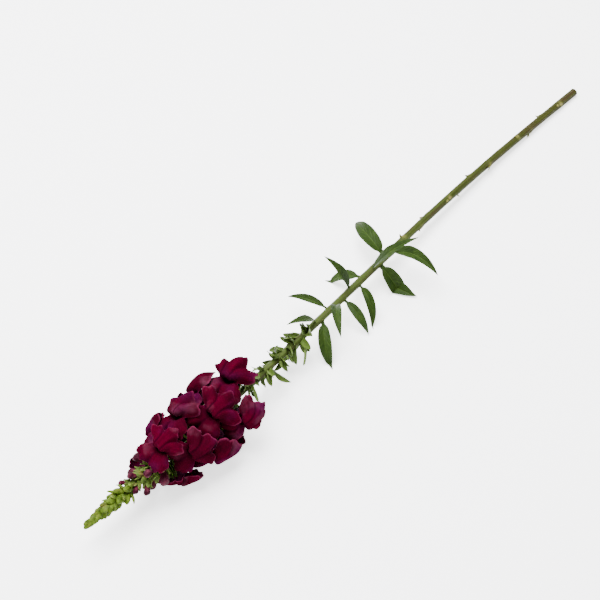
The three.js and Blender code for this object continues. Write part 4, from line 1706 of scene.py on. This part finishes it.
@dataclass
class Blooms:
    """The open two-lipped blooms: tube, upper lip of two lobes, puffed palate and lower lip of three."""

    line: StemLine
    count: int = 15
    first: float = 180.0
    spacing: float = 6.6
    seed: int = 207
    azimuth_sway: float = 3.0
    lean: tuple[float, float] = (76.0, 65.0)
    lean_sway: float = 3.0
    roll_sway: float = 9.0
    scale: tuple[float, float] = (0.968, 0.778)
    scale_sway: float = 0.03
    opening: tuple[float, float] = (1.1, 0.3)
    opening_sway: float = 0.15
    stalk: float = 7.5
    solid_petal: float = 0.9
    petal: float = 0.5
    mouth_corner: float = 8.0
    corner_from: float = 0.77
    upper_share: float = 0.46
    upper_fan: float = 76.0
    upper_reach: float = 14.8
    upper_cleft: float = 0.5
    lower_fan: float = 92.0
    lower_reach: float = 14.6
    lower_cleft: float = 0.62
    spread: float = 1.27
    waves: float = 7.0
    ruffle: float = 1.3
    columns: int = 112
    rows: int = 52
    shape_seed: int = 5207
    lobe_sway: float = 0.06
    bend_sway: float = 1.4
    lobe_width: float = 0.07
    full_turn: float = 6.28
    ring_waves: tuple[float, ...] = (0.0, 0.03, 0.08, 0.25, 0.7, 1.35)
    furrow_width: float = 0.026
    furrow_depths: tuple[float, ...] = (0.0, 0.2, 0.6, 1.2, 1.5, 0.8)
    tube_rings: tuple[tuple[float, ...], ...] = (  # half width, height above and below, ahead, lift
        (0.0, 0.0, 0.0, 0.0, 0.0),
        (1.9, 1.9, 1.9, 0.5, 0.0),
        (3.2, 3.0, 3.4, 2.4, 0.0),
        (4.0, 3.8, 4.2, 5.6, 0.0),
        (4.7, 4.5, 4.6, 10.5, 0.0),
        (6.0, 5.6, 5.2, 16.5, 0.2),
    )

    def traits(self, i: int) -> BloomTraits:
        """Draws one bloom.

        Args:
            i: Its number, from 0.

        Returns:
            What was drawn for it.
        """
        draws = Draws(self.seed + i)
        share = i / (self.count - 1)
        azimuth = SPIRAL_START + GOLDEN_ANGLE * i + draws.strayed(self.azimuth_sway)
        lean = lerp(*self.lean, share) + draws.strayed(self.lean_sway)
        roll = draws.strayed(self.roll_sway)
        scale = lerp(*self.scale, share**2) * (1 + draws.strayed(self.scale_sway))
        opening = lerp(*self.opening, share**2) + draws.strayed(self.opening_sway)
        more = Draws(self.shape_seed + i)
        lobes = tuple(more.strayed(self.lobe_sway) for _ in range(5))
        bends = tuple(more.strayed(self.bend_sway) for _ in range(5))
        back = self.first - self.spacing * i
        phase, tone = self.full_turn * more.draw(), more.strayed(1.0)
        return BloomTraits(back, azimuth, lean, roll, scale, opening, lobes, bends, phase, tone)

    def seat(self, traits: BloomTraits) -> Seat:
        """Returns where a bloom sits, at the end of its stalk."""
        return self.line.seat(traits.back, traits.azimuth, traits.lean, self.stalk).rolled(traits.roll)

    def lobe_drift(self, u: Shares, values: tuple[float, ...]) -> Shares:
        """Spreads one value for each of the five lobes smoothly round the bloom.

        Args:
            u: Places round the bloom, from 0 to 1.
            values: One for each lobe.

        Returns:
            One value for each place.
        """
        up = self.upper_share
        centres = (0.25 * up, 0.75 * up, up + 0.18 * (1 - up), up + 0.5 * (1 - up), up + 0.82 * (1 - up))
        drift = np.zeros_like(u)
        for centre, value in zip(centres, values, strict=True):
            drift += value * np.exp(-(((u - centre) / self.lobe_width) ** 2))
        return drift

    def rings(self, u: Shares, traits: BloomTraits) -> Points:
        """Returns the control rings of a bloom in its own axes, from its closed foot to its rim.

        Args:
            u: Places round the bloom, from 0 to 1: first the upper lip, then the lower one.
            traits: What was drawn for the bloom.

        Returns:
            Points as an array of rings, vertices and coordinates.
        """
        upper = u < self.upper_share
        p = np.where(upper, 1 - 2 * u / self.upper_share, 0.0)
        q = np.where(upper, 0.0, -1 + 2 * (u - self.upper_share) / (1 - self.upper_share))
        a, b = np.abs(p), np.abs(q)
        above, below = 90 - p * (90 - self.mouth_corner), 270 + q * (90 + self.mouth_corner)
        throat = np.radians(np.where(upper, above, below))
        cos, sin = np.cos(throat), np.sin(throat)
        rings = []
        for wide, over, under, ahead, lift in self.tube_rings:
            high = np.where(sin > 0, over, under) * sin + lift
            rings.append(np.column_stack([wide * cos, high, np.full_like(u, ahead)]))
        uppers = self.upper_rings(p, a, throat, traits.opening)
        lowers = self.lower_rings(q, b, traits.opening)
        corner = ease(self.corner_from, 1.0, np.where(upper, a, b))[:, None]
        mouth = rings[-1]
        out = unit(mouth * [1.0, 1.0, 0.0])
        for j, (over, under) in enumerate(zip(uppers, lowers, strict=True)):
            f = (j + 1) / len(uppers)
            seam = mouth + out * 4.6 * f + [0.0, 0.0, 4 * f - 2.6 * f * f]
            ring = np.where(upper[:, None], over, under) * (1 - corner) + seam * corner
            rings.append(self.ruffled(ring, u, j, corner[:, 0], traits))
        return np.array(rings)

    def furrows(self, u: Shares) -> Shares:
        """Returns how deep each place round the bloom lies in a furrow between two lobes, from 0 to 1.

        Args:
            u: Places round the bloom, from 0 to 1.

        Returns:
            One depth for each place.
        """
        up, third = self.upper_share, 0.165 * (1 - self.upper_share)
        middle = (1 + up) / 2
        deep = np.zeros_like(u)
        for centre in (0.5 * up, middle - third, middle + third):
            deep = np.maximum(deep, np.exp(-(((u - centre) / self.furrow_width) ** 2)))
        return deep

    def ruffled(self, ring: Points, u: Shares, j: int, corner: Shares, traits: BloomTraits) -> Points:
        """Waves a ring of the lips, more the nearer it is to the rim, and presses in the furrows.

        Args:
            ring: The ring.
            u: Places round the bloom, from 0 to 1.
            j: The ring's number, from 0 at the mouth to 5 at the rim.
            corner: How near each place is to a corner of the mouth.
            traits: What was drawn for the bloom.

        Returns:
            The waved ring.
        """
        size = self.ruffle * self.ring_waves[j] * (1 - corner)
        turns = 2 * np.pi * self.waves * u + traits.phase
        wave = np.sin(turns) + 0.5 * np.sin(1.7 * turns + 1.3) + 0.04 * (j + 1) * np.sin(3.6 * turns)
        ring = ring.copy()
        ring[:, 2] += size * (wave + self.lobe_drift(u, traits.bends))
        ring[:, 2] -= self.furrow_depths[j] * self.furrows(u) * (1 - corner)
        drift = 0.25 / self.ring_waves[-1] * self.lobe_drift(u, traits.lobes)
        swing = 1 + size * (0.026 * np.sin(2.3 * turns + 0.7) + drift)
        ring[:, :2] *= swing[:, None]
        return ring

    def upper_rings(self, p: Shares, a: Shares, throat: Shares, opening: float) -> list[Points]:
        """Returns the rings of the upper lip: a hood that stands up in two rolled-back lobes.

        Args:
            p: Places across the lip, from 1 to -1.
            a: The same without a sign.
            throat: Their angles round the throat.
            opening: How far the mouth gapes.

        Returns:
            Six rings.
        """
        fan = np.radians(90 - np.sign(p) * a**0.9 * self.upper_fan)
        wave = np.clip(np.sin(np.pi * np.clip(a, 0, 1)), 0, 1)
        lobe = np.where(a < 0.5, self.upper_cleft + (1 - self.upper_cleft) * wave**0.36, wave**0.4)
        reach = self.spread * self.upper_reach * lobe
        curl = ((a - 0.5) / 0.5) ** 2

        def ring(radius: Shares, ahead: Shares, spread: float) -> Points:
            """Returns a ring that has fanned out by a share."""
            angle = throat + (fan - throat) * spread
            return np.column_stack([radius * np.cos(angle), radius * np.sin(angle) + 0.4, ahead])

        return [
            ring(np.full_like(a, 6.9), 19 - a**2, 0.3),
            ring(7.3 + 0.18 * reach, 22 - 3 * a**2, 0.6),
            ring(7.5 + 0.45 * reach, 23.6 - 3.5 * a**2 - 0.5 * opening, 0.85),
            ring(7.5 + 0.7 * reach, 23.2 - 3.5 * a**2 - 1.7 * opening, 1.0),
            ring(7.5 + 0.9 * reach, 21.6 - 3.2 * a**2 - 3.2 * opening - 1.3 * curl, 1.0),
            ring(7.5 + reach, 18.6 - 2.6 * a**2 - 4.8 * opening - 2 * curl, 1.0),
        ]

    def lower_rings(self, q: Shares, b: Shares, opening: float) -> list[Points]:
        """Returns the rings of the lower lip: over the puffed palate and down to its three lobes.

        Args:
            q: Places across the lip, from -1 to 1.
            b: The same without a sign.
            opening: How far the mouth gapes.

        Returns:
            Six rings.
        """
        fan = np.radians(270 + np.sign(q) * b**0.95 * self.lower_fan)
        side = np.clip(np.sin(np.pi * np.clip((b - 0.3) / 0.7, 0, 1)), 0, 1) ** 0.45
        centre = np.clip(np.cos(np.pi / 2 * np.minimum(1, b / 0.34)), 0, 1) ** 0.42
        lobe = np.maximum(side, 0.95 * centre)
        lobe = np.where(b < 0.65, np.maximum(lobe, self.lower_cleft), lobe)
        reach = self.spread * self.lower_reach * lobe
        curl = np.where(b < 0.32, (b / 0.32) ** 2, ((b - 0.65) / 0.35) ** 2)
        psi = np.pi / 2 * q
        level = np.clip(np.cos(psi), 0, 1)
        middle = level**0.6
        bump = np.exp(-(((b - 0.38) / 0.22) ** 2))
        fold = 6.4 + 0.22 * reach

        def ring(radius: Shares, ahead: Shares) -> Points:
            """Returns a ring of the lobes."""
            return np.column_stack([radius * np.cos(fan), radius * np.sin(fan), ahead])

        def palate(half: float, high: Shares, ahead: Shares) -> Points:
            """Returns a ring over the palate."""
            return np.column_stack([half * np.sin(psi), high, ahead])

        under = np.minimum(fold * np.sin(fan), 0) * 0.85 - 0.2
        folded = 28.6 + 0.9 * bump - 8.6 * (1 - middle) - 0.4 * opening
        return [
            palate(5.8, 0.6 - 1.6 * level, 19.6 - 1.5 * (1 - level)),
            palate(7.0, 2.4 * middle + 0.3 + 1.2 * bump, 22.6 - 4.2 * (1 - middle)),
            palate(9.0, 0.9 * middle + 0.4 + 1.5 * bump, 28 + 1.6 * bump - 8 * (1 - middle)),
            np.column_stack([fold * np.cos(fan) * 1.15, under, folded]),
            ring(7 + 0.66 * reach, 26.6 - 7 * (1 - middle) - 1.6 * opening - curl),
            ring(7 + reach, 22.4 - 4 * (1 - middle) - 4.6 * opening - 2 * curl),
        ]

    def build(self, material: Material) -> None:
        """Makes each bloom.

        Args:
            material: Their finish.
        """
        lift = self.solid_petal / 2 + GAP
        for i in range(self.count):
            traits = self.traits(i)
            seat = self.seat(traits)

            def surface(u: Shares, v: Shares, traits: BloomTraits = traits, seat: Seat = seat) -> Points:
                """Returns the bloom's surface."""
                local = traits.scale * through(self.rings(u % 1.0, traits), v)
                return pressed(seat.place(local[:, 0], local[:, 1], local[:, 2] + lift))

            obj = shaped(f"bloom_{i + 1:02d}_petals", self.columns, self.rows, surface, self.petal)
            keep_value(obj, "tone", np.full(len(obj.data.vertices), traits.tone))
            finish_piece(obj, material, Slot.PETAL, [f"bloom_{i + 1:02d}"])


# ------------ buds and calyces


@dataclass(frozen=True)
class BudTraits:
    """All that is drawn for one coloured bud."""

    back: float
    azimuth: float
    lean: float
    length: float
    radius: float
    stalk: float


@dataclass
class Buds:
    """The coloured buds: closed lips on a narrow tube."""

    line: StemLine
    turns_before: int = 15
    count: int = 11
    first: float = 84.0
    spacing: float = 3.5
    seed: int = 300
    azimuth_sway: float = 6.0
    lean: tuple[float, float] = (58.0, 40.0)
    lean_sway: float = 4.0
    length: tuple[float, float] = (19.0, 8.5)
    radius: tuple[float, float] = (4.3, 2.1)
    stalk: tuple[float, float] = (5.5, 3.5)
    widths: tuple[float, ...] = (0.0, 0.42, 0.6, 0.68, 0.86, 1.0, 0.98, 0.76, 0.42, 0.0)
    heights: tuple[float, ...] = (0.0, 0.06, 0.2, 0.38, 0.56, 0.74, 0.86, 0.95, 0.99, 1.0)
    seam: float = 0.12
    cleft: float = 0.1
    hood: float = 0.07
    nod: float = 0.03
    columns: int = 48
    rows: int = 40

    def traits(self, i: int) -> BudTraits:
        """Draws one bud.

        Args:
            i: Its number, from 0.

        Returns:
            What was drawn for it.
        """
        draws = Draws(self.seed + i)
        share = i / (self.count - 1)
        azimuth = SPIRAL_START + GOLDEN_ANGLE * (self.turns_before + i) + draws.strayed(self.azimuth_sway)
        lean = lerp(*self.lean, share) + draws.strayed(self.lean_sway)
        length = lerp(*self.length, share**0.8)
        radius = lerp(*self.radius, share**0.8)
        back, stalk = self.first - self.spacing * i, lerp(*self.stalk, share)
        return BudTraits(back, azimuth, lean, length, radius, stalk)

    def seat(self, traits: BudTraits) -> Seat:
        """Returns where a bud sits, at the end of its stalk."""
        return self.line.seat(traits.back, traits.azimuth, traits.lean, traits.stalk)

    def form(self, traits: BudTraits, ball: Points) -> Points:
        """Draws a ball out into one bud: a narrow tube, and a head creased where its lips fold together.

        Args:
            traits: What was drawn for the bud.
            ball: Vertices of the ball.

        Returns:
            Points on the stem.
        """
        angle, share = round_and_along(ball)
        stations = np.column_stack([self.widths, self.heights, np.zeros(len(self.widths))])[:, None]
        drawn = through(np.repeat(stations, len(share), axis=1), share)
        head = ease(0.4, 0.6, share) * ease(1.0, 0.9, share)
        seam = np.exp(-(((np.abs(np.sin(angle / 2 - np.pi / 4)) - 0.6) / 0.06) ** 2))
        cleft = np.exp(-(((np.sin(angle) - 1) / 0.02) ** 2))
        creased = 1 - (self.seam * seam + self.cleft * cleft) * head
        radius = traits.radius * np.maximum(drawn[:, 0], 0) * creased
        radius = radius * (1 + self.hood * head * np.sin(angle))
        high = GAP + traits.length * (drawn[:, 1] + self.nod * head * np.sin(angle))
        return pressed(self.seat(traits).place(radius * np.cos(angle), radius * np.sin(angle), high))

    def build(self, material: Material) -> None:
        """Makes each bud.

        Args:
            material: Their finish.
        """
        pattern = Pattern(new_ball("bud_pattern", self.columns, self.rows))
        for i in range(self.count):
            name, traits = f"bud_{i + 1:02d}", self.traits(i)
            obj = pattern.copy(f"{name}_petals", lambda ball, t=traits: self.form(t, ball))
            finish_piece(obj, material, Slot.BUD, [name])
        pattern.discard()


@dataclass
class Calyces:
    """The green cups of five lobes that hold the blooms and the coloured buds, each on its stalk."""

    blooms: Blooms
    buds: Buds
    lobes: int = 5
    notch: float = 0.38
    wall: float = 0.9
    thickness: float = 0.6
    lobe_spread: float = 1.36
    stalk_radius: float = 1.15
    bloom_height: float = 8.5
    bud_height: float = 0.55
    bud_hold: float = 0.8
    neck: float = 4.0
    keel: float = 0.35
    columns: int = 60
    rows: int = 20

    def cup(self, name: str, seat: Seat, hold: float, height: float, stalk: float) -> Piece:
        """Shapes one calyx.

        Args:
            name: Name of the mesh.
            seat: Where the calyx sits.
            hold: Radius of its inside at the notches between its lobes.
            height: Height of its lobes' points.
            stalk: Length of its stalk.

        Returns:
            The thickened cup with its stalk.
        """
        notch = self.notch * height

        def surface(around: Shares, share: Shares) -> Points:
            """Returns the surface of the stalk, the cup and its lobes.

            Args:
                around: Shares of the way round it.
                share: Shares of the way up it.

            Returns:
                Points on the stem.
            """
            angle = 2 * np.pi * around
            from_lobe = np.abs(((around * self.lobes + 0.5) % 1.0) - 0.5) * 2
            outline = np.maximum((1 - from_lobe**2) ** 0.75, 0.03)
            stem = np.clip(share / 0.3, 0, 1)
            cup = np.clip((share - 0.3) / 0.3, 0, 1)
            leaf = np.clip((share - 0.6) / 0.4, 0, 1)
            high = -stalk + (stalk - 1.5) * stem + (notch + 1.5) * cup + (height - notch) * leaf * outline
            stalk_wide = self.stalk_radius * (1 + 0.25 * stem)
            body = stalk_wide + (hold + self.wall / 2 - stalk_wide) * np.sin(np.pi / 2 * cup) ** 0.8
            flare = hold * (self.lobe_spread - 1) * (leaf * outline) ** 1.2
            keel = self.keel * (1 - from_lobe) ** 2 * ease(0.3, 0.7, share)
            radius = (body + flare + keel) * (share > 1e-6)
            return pressed(seat.place(radius * np.cos(angle), radius * np.sin(angle), high))

        return shaped(name, self.columns, self.rows, surface, self.thickness)

    def build(self, material: Material) -> None:
        """Makes the calyces of the blooms and of the buds.

        Args:
            material: Their finish.
        """
        parts = []
        for i in range(self.blooms.count):
            traits = self.blooms.traits(i)
            hold = self.neck * traits.scale + self.blooms.solid_petal / 2 + 1.3 * GAP
            height = self.bloom_height * traits.scale
            parts.append(self.cup(f"cup_{i}", self.blooms.seat(traits), hold, height, self.blooms.stalk))
        for i in range(self.buds.count):
            bud = self.buds.traits(i)
            hold = self.bud_hold * bud.radius + GAP
            height = self.bud_height * bud.length
            parts.append(self.cup(f"bud_cup_{i}", self.buds.seat(bud), hold, height, bud.stalk))
        finish_piece(joined("calyces", parts), material, Slot.STEM, ["stem"])


@dataclass
class GreenBuds:
    """The green buds that close up to the tip: eggs of five pressed sepals, each over its bract."""

    line: StemLine
    turns_before: int = 26
    count: int = 26
    first: float = 48.0
    last: float = 3.0
    seed: int = 500
    azimuth_sway: float = 6.0
    lean: tuple[float, float] = (46.0, 12.0)
    lean_sway: float = 4.0
    length: tuple[float, float] = (11.0, 6.5)
    radius: tuple[float, float] = (2.6, 1.3)
    plumper: tuple[float, float] = (1.2, 1.9)
    longer: tuple[float, float] = (1.05, 1.2)
    closer: tuple[float, float] = (1.0, 0.6)
    stalk: float = 0.3
    sepals: int = 5
    columns: int = 30
    rows: int = 20
    under_back: float = 2.4
    under_lean: tuple[float, float] = (32.0, 20.0)
    under_sway: tuple[float, float] = (0.0, 8.0)
    under_length: tuple[float, float] = (1.0, 1.4)
    under_width: float = 1.7
    under_bend: float = 0.5
    under_fold: float = 0.7
    under_thickness: float = 0.35
    bract_thickness: float = 0.4
    bloom_bract_back: float = 2.2
    bloom_bract_bend: float = -0.4
    bloom_bracts: tuple[tuple[float, ...], ...] = (  # turn, lean, length, width
        (0.0, 82.0, 13.0, 6.0),
        (68.75, 60.0, 23.0, 11.0),
    )
    bud_bract_back: float = 2.0
    bud_bract_bend: float = 0.5
    bud_bract_length: tuple[float, float] = (0.68, 1.0)
    bud_bract_slimness: tuple[float, float] = (0.46, 0.58)
    bud_bracts: tuple[tuple[float, float], ...] = ((0.0, 20.0), (55.0, -14.0))  # turn, added lean
    filler_bend: float = -0.2
    fillers: tuple[tuple[float, ...], ...] = (  # back, azimuth, lean, length, width
        (95.0, 333.0, 58.0, 24.0, 13.0),
        (90.0, 345.0, 66.0, 17.0, 10.0),
        (88.0, 335.0, 68.0, 22.0, 13.0),
        (126.0, 152.0, 52.0, 16.0, 9.0),
    )

    def egg(self, pattern: Pattern, i: int) -> tuple[Piece, Blade]:
        """Shapes one green bud and works out the bract under it.

        Args:
            pattern: The ball.
            i: Its number, from 0.

        Returns:
            The bud and its bract.
        """
        draws = Draws(self.seed + i)
        share = i / (self.count - 1)
        back = lerp(self.first, self.last, share**0.9)
        azimuth = SPIRAL_START + GOLDEN_ANGLE * (self.turns_before + i) + draws.strayed(self.azimuth_sway)
        lean = (lerp(*self.lean, share**1.3) + draws.strayed(self.lean_sway)) * lerp(*self.closer, share)
        length = lerp(*self.length, share) * lerp(*self.longer, share)
        radius = lerp(*self.radius, share) * lerp(*self.plumper, share)
        seat = self.line.seat(back, azimuth, lean, self.stalk)

        def form(ball: Points) -> Points:
            """Draws the ball out into an egg of sepals that overlap in a spiral.

            Args:
                ball: Vertices of the ball.

            Returns:
                Points on the stem.
            """
            angle, along = round_and_along(ball)
            high = 0.5 - 0.5 * np.cos(np.pi * along)
            turned = angle / (2 * np.pi) * self.sepals + 0.35 * along
            ridge = np.abs((turned % 1.0) - 0.5) * 2
            lap = 1 + 0.16 * (0.5 - ridge**2) * ease(0.05, 0.4, along) * ease(1.0, 0.85, along)
            taper = 1.15 - 0.3 * high - 0.28 * ease(0.5, 1.0, along)
            wide = radius * taper * np.sin(np.pi * along) ** 0.6 * lap
            return pressed(seat.place(wide * np.cos(angle), wide * np.sin(angle), length * high))

        lean += lerp(*self.under_lean, share) + draws.between(*self.under_sway)
        under = self.line.seat(back + self.under_back, azimuth, lean, 0.0)
        bend, width = under.up * self.under_bend, self.under_width * radius
        reach = length * draws.between(*self.under_length)
        shape = {"thickness": self.under_thickness, "fold": self.under_fold}
        blade = Blade(under.foot, under.forward, bend, under.up, reach, width, **shape)
        return pattern.copy(f"egg_{i}", form), blade

    def bract(self, seat: Seat, bend: float, length: float, width: float) -> Blade:
        """Works out a bract that bends to the tip by a share, or away from it."""
        thickness = self.bract_thickness
        return Blade(seat.foot, seat.forward, seat.up * bend, seat.up, length, width, thickness=thickness)

    def of_blooms(self, blooms: Blooms) -> list[Blade]:
        """Works out the bracts beside the blooms' stalks, each turned round the stem by some degrees.

        Args:
            blooms: The blooms.

        Returns:
            The bracts.
        """
        blades = []
        for i in range(blooms.count):
            traits = blooms.traits(i)
            for turn, lean, length, width in self.bloom_bracts:
                seat = self.line.seat(traits.back + self.bloom_bract_back, traits.azimuth + turn, lean, 0.0)
                blades.append(self.bract(seat, self.bloom_bract_bend, length * traits.scale, width))
        return blades

    def of_buds(self, buds: Buds) -> list[Blade]:
        """Works out the bracts beside the coloured buds, each turned round the stem by some degrees.

        Args:
            buds: The coloured buds.

        Returns:
            The bracts.
        """
        blades = []
        for i in range(buds.count):
            traits, share = buds.traits(i), i / (buds.count - 1)
            length = lerp(*self.bud_bract_length, share) * (traits.length + traits.stalk)
            width = lerp(*self.bud_bract_slimness, share) * length
            back = traits.back + self.bud_bract_back
            for turn, leaned in self.bud_bracts:
                seat = self.line.seat(back, traits.azimuth + turn, traits.lean + leaned, 0.0)
                blades.append(self.bract(seat, self.bud_bract_bend, length, width))
        return blades

    def leafy(self) -> list[Blade]:
        """Works out the leafy bracts where the axis would show bare between the blooms.

        Returns:
            The bracts.
        """
        blades = []
        for back, azimuth, lean, length, width in self.fillers:
            seat = self.line.seat(back, azimuth, lean, 0.0)
            blades.append(self.bract(seat, self.filler_bend, length, width))
        return blades

    def build(self, pattern: Pattern, finishes: Sequence[Material], blooms: Blooms, buds: Buds) -> None:
        """Makes the green buds, their bracts as one piece, and the other bracts as another.

        Args:
            pattern: The small blade.
            finishes: Those of the green buds, of their bracts and of the bracts further down.
            blooms: The blooms, which have bracts too.
            buds: The coloured buds, which have them as well.
        """
        ball = Pattern(new_ball("egg_pattern", self.columns, self.rows))
        made = [self.egg(ball, i) for i in range(self.count)]
        ball.discard()
        finish_piece(joined("green_buds", [egg for egg, _ in made]), finishes[0], Slot.STEM, ["stem"])
        parts = [pattern.copy(f"spike_bract_{k}", blade.form) for k, (_, blade) in enumerate(made)]
        finish_piece(joined("spike_bracts", parts), finishes[1], Slot.LEAF, ["stem"])
        blades = self.of_blooms(blooms) + self.of_buds(buds) + self.leafy()
        parts = [pattern.copy(f"bract_{k}", blade.form) for k, blade in enumerate(blades)]
        finish_piece(joined("bracts", parts), finishes[2], Slot.LEAF, ["stem"])


# ------------ the studio


@dataclass(frozen=True)
class Lamp:
    """A soft square light. It is aimed at the object from an angle round it, counted from the camera."""

    name: str
    turn: float
    elevation: float
    distance: float
    size: float
    power: float


@dataclass
class Studio:
    """A pale floor, soft light and the camera."""

    azimuth: float = 131.8127
    elevation: float = 54.0
    distance: float = 1.304156
    target: tuple[float, float, float] = (0.054961, -0.031842, 0.015)
    field_of_view: float = 25.0
    floor_size: float = 12.0
    lamps: tuple[Lamp, ...] = (
        Lamp("key", -140.0, 73.0, 1.9, 1.5, 170.0),
        Lamp("fill", -50.0, 50.0, 2.2, 1.8, 20.0),
    )
    room_light: float = 0.7

    def toward(self, azimuth: float, elevation: float) -> Vector:
        """Returns the direction from the object to something seen at these angles."""
        a, e = math.radians(azimuth), math.radians(elevation)
        return Vector((math.sin(a) * math.cos(e), -math.cos(a) * math.cos(e), math.sin(e)))

    def light(self, lamp: Lamp) -> None:
        """Adds a soft square light that faces the object.

        Args:
            lamp: The light, in degrees, metres and watts.
        """
        back = self.toward(self.azimuth + lamp.turn, lamp.elevation)
        bpy.ops.object.light_add(type="AREA", location=Vector(self.target) + back * lamp.distance)
        light = bpy.context.object
        light.name = lamp.name
        light.data.size = lamp.size
        light.data.energy = lamp.power
        light.rotation_euler = (-back).to_track_quat("-Z", "Y").to_euler()

    def build(self) -> None:
        """Makes the floor, the lights, the surroundings and the camera."""
        floor = new_primitive("floor", bpy.ops.mesh.primitive_plane_add, size=self.floor_size)
        floor.data.materials.append(FloorFinish().build())
        for lamp in self.lamps:
            self.light(lamp)
        world = bpy.data.worlds.new("soft_room")
        bpy.context.scene.world = world
        world.use_nodes = True
        background = world.node_tree.nodes["Background"]
        background.inputs["Color"].default_value = (1.0, 1.0, 1.0, 1.0)
        background.inputs["Strength"].default_value = self.room_light
        self.camera()

    def camera(self) -> None:
        """Makes the camera."""
        back = self.toward(self.azimuth, self.elevation)
        bpy.ops.object.camera_add(location=Vector(self.target) + back * self.distance)
        camera = bpy.context.object
        camera.rotation_euler = (-back).to_track_quat("-Z", "Y").to_euler()
        camera.data.angle = math.radians(self.field_of_view)
        bpy.context.scene.camera = camera


# ------------ putting it together


def main() -> None:
    """Builds the stem's pieces in order, from the cut end to the tip, and then the studio."""
    logging.basicConfig(level=logging.INFO, format="%(name)s: %(message)s")
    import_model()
    line = StemLine()
    scars, leaves, upper = Scars(line), LargeLeaves(line), UpperLeaves(line)
    blooms, buds = Blooms(line), Buds(line)
    bare = [(line.length - back, azimuth) for back, azimuth in scars.places()]
    grown = [(line.length - back, azimuth) for back, azimuth in leaves.places() + upper.places()]
    fresh = CALYX_GREEN.build()
    Stem(line, bare + grown, bare).build(StemFinish().build())
    pattern = blade_pattern(*SMALL_BLADE)
    scars.build(pattern, SCAR_GREEN.build())
    leaves.build(LeafFinish().build())
    upper.build(pattern, SMALL_LEAF.build())
    blooms.build(PetalFinish().build())
    buds.build(BudFinish().build())
    Calyces(blooms, buds).build(fresh)
    GreenBuds(line).build(pattern, (BUD_GREEN.build(), BRACT_GREEN.build(), fresh), blooms, buds)
    pattern.discard()
    Studio().build()


if __name__ == "__main__":
    main()
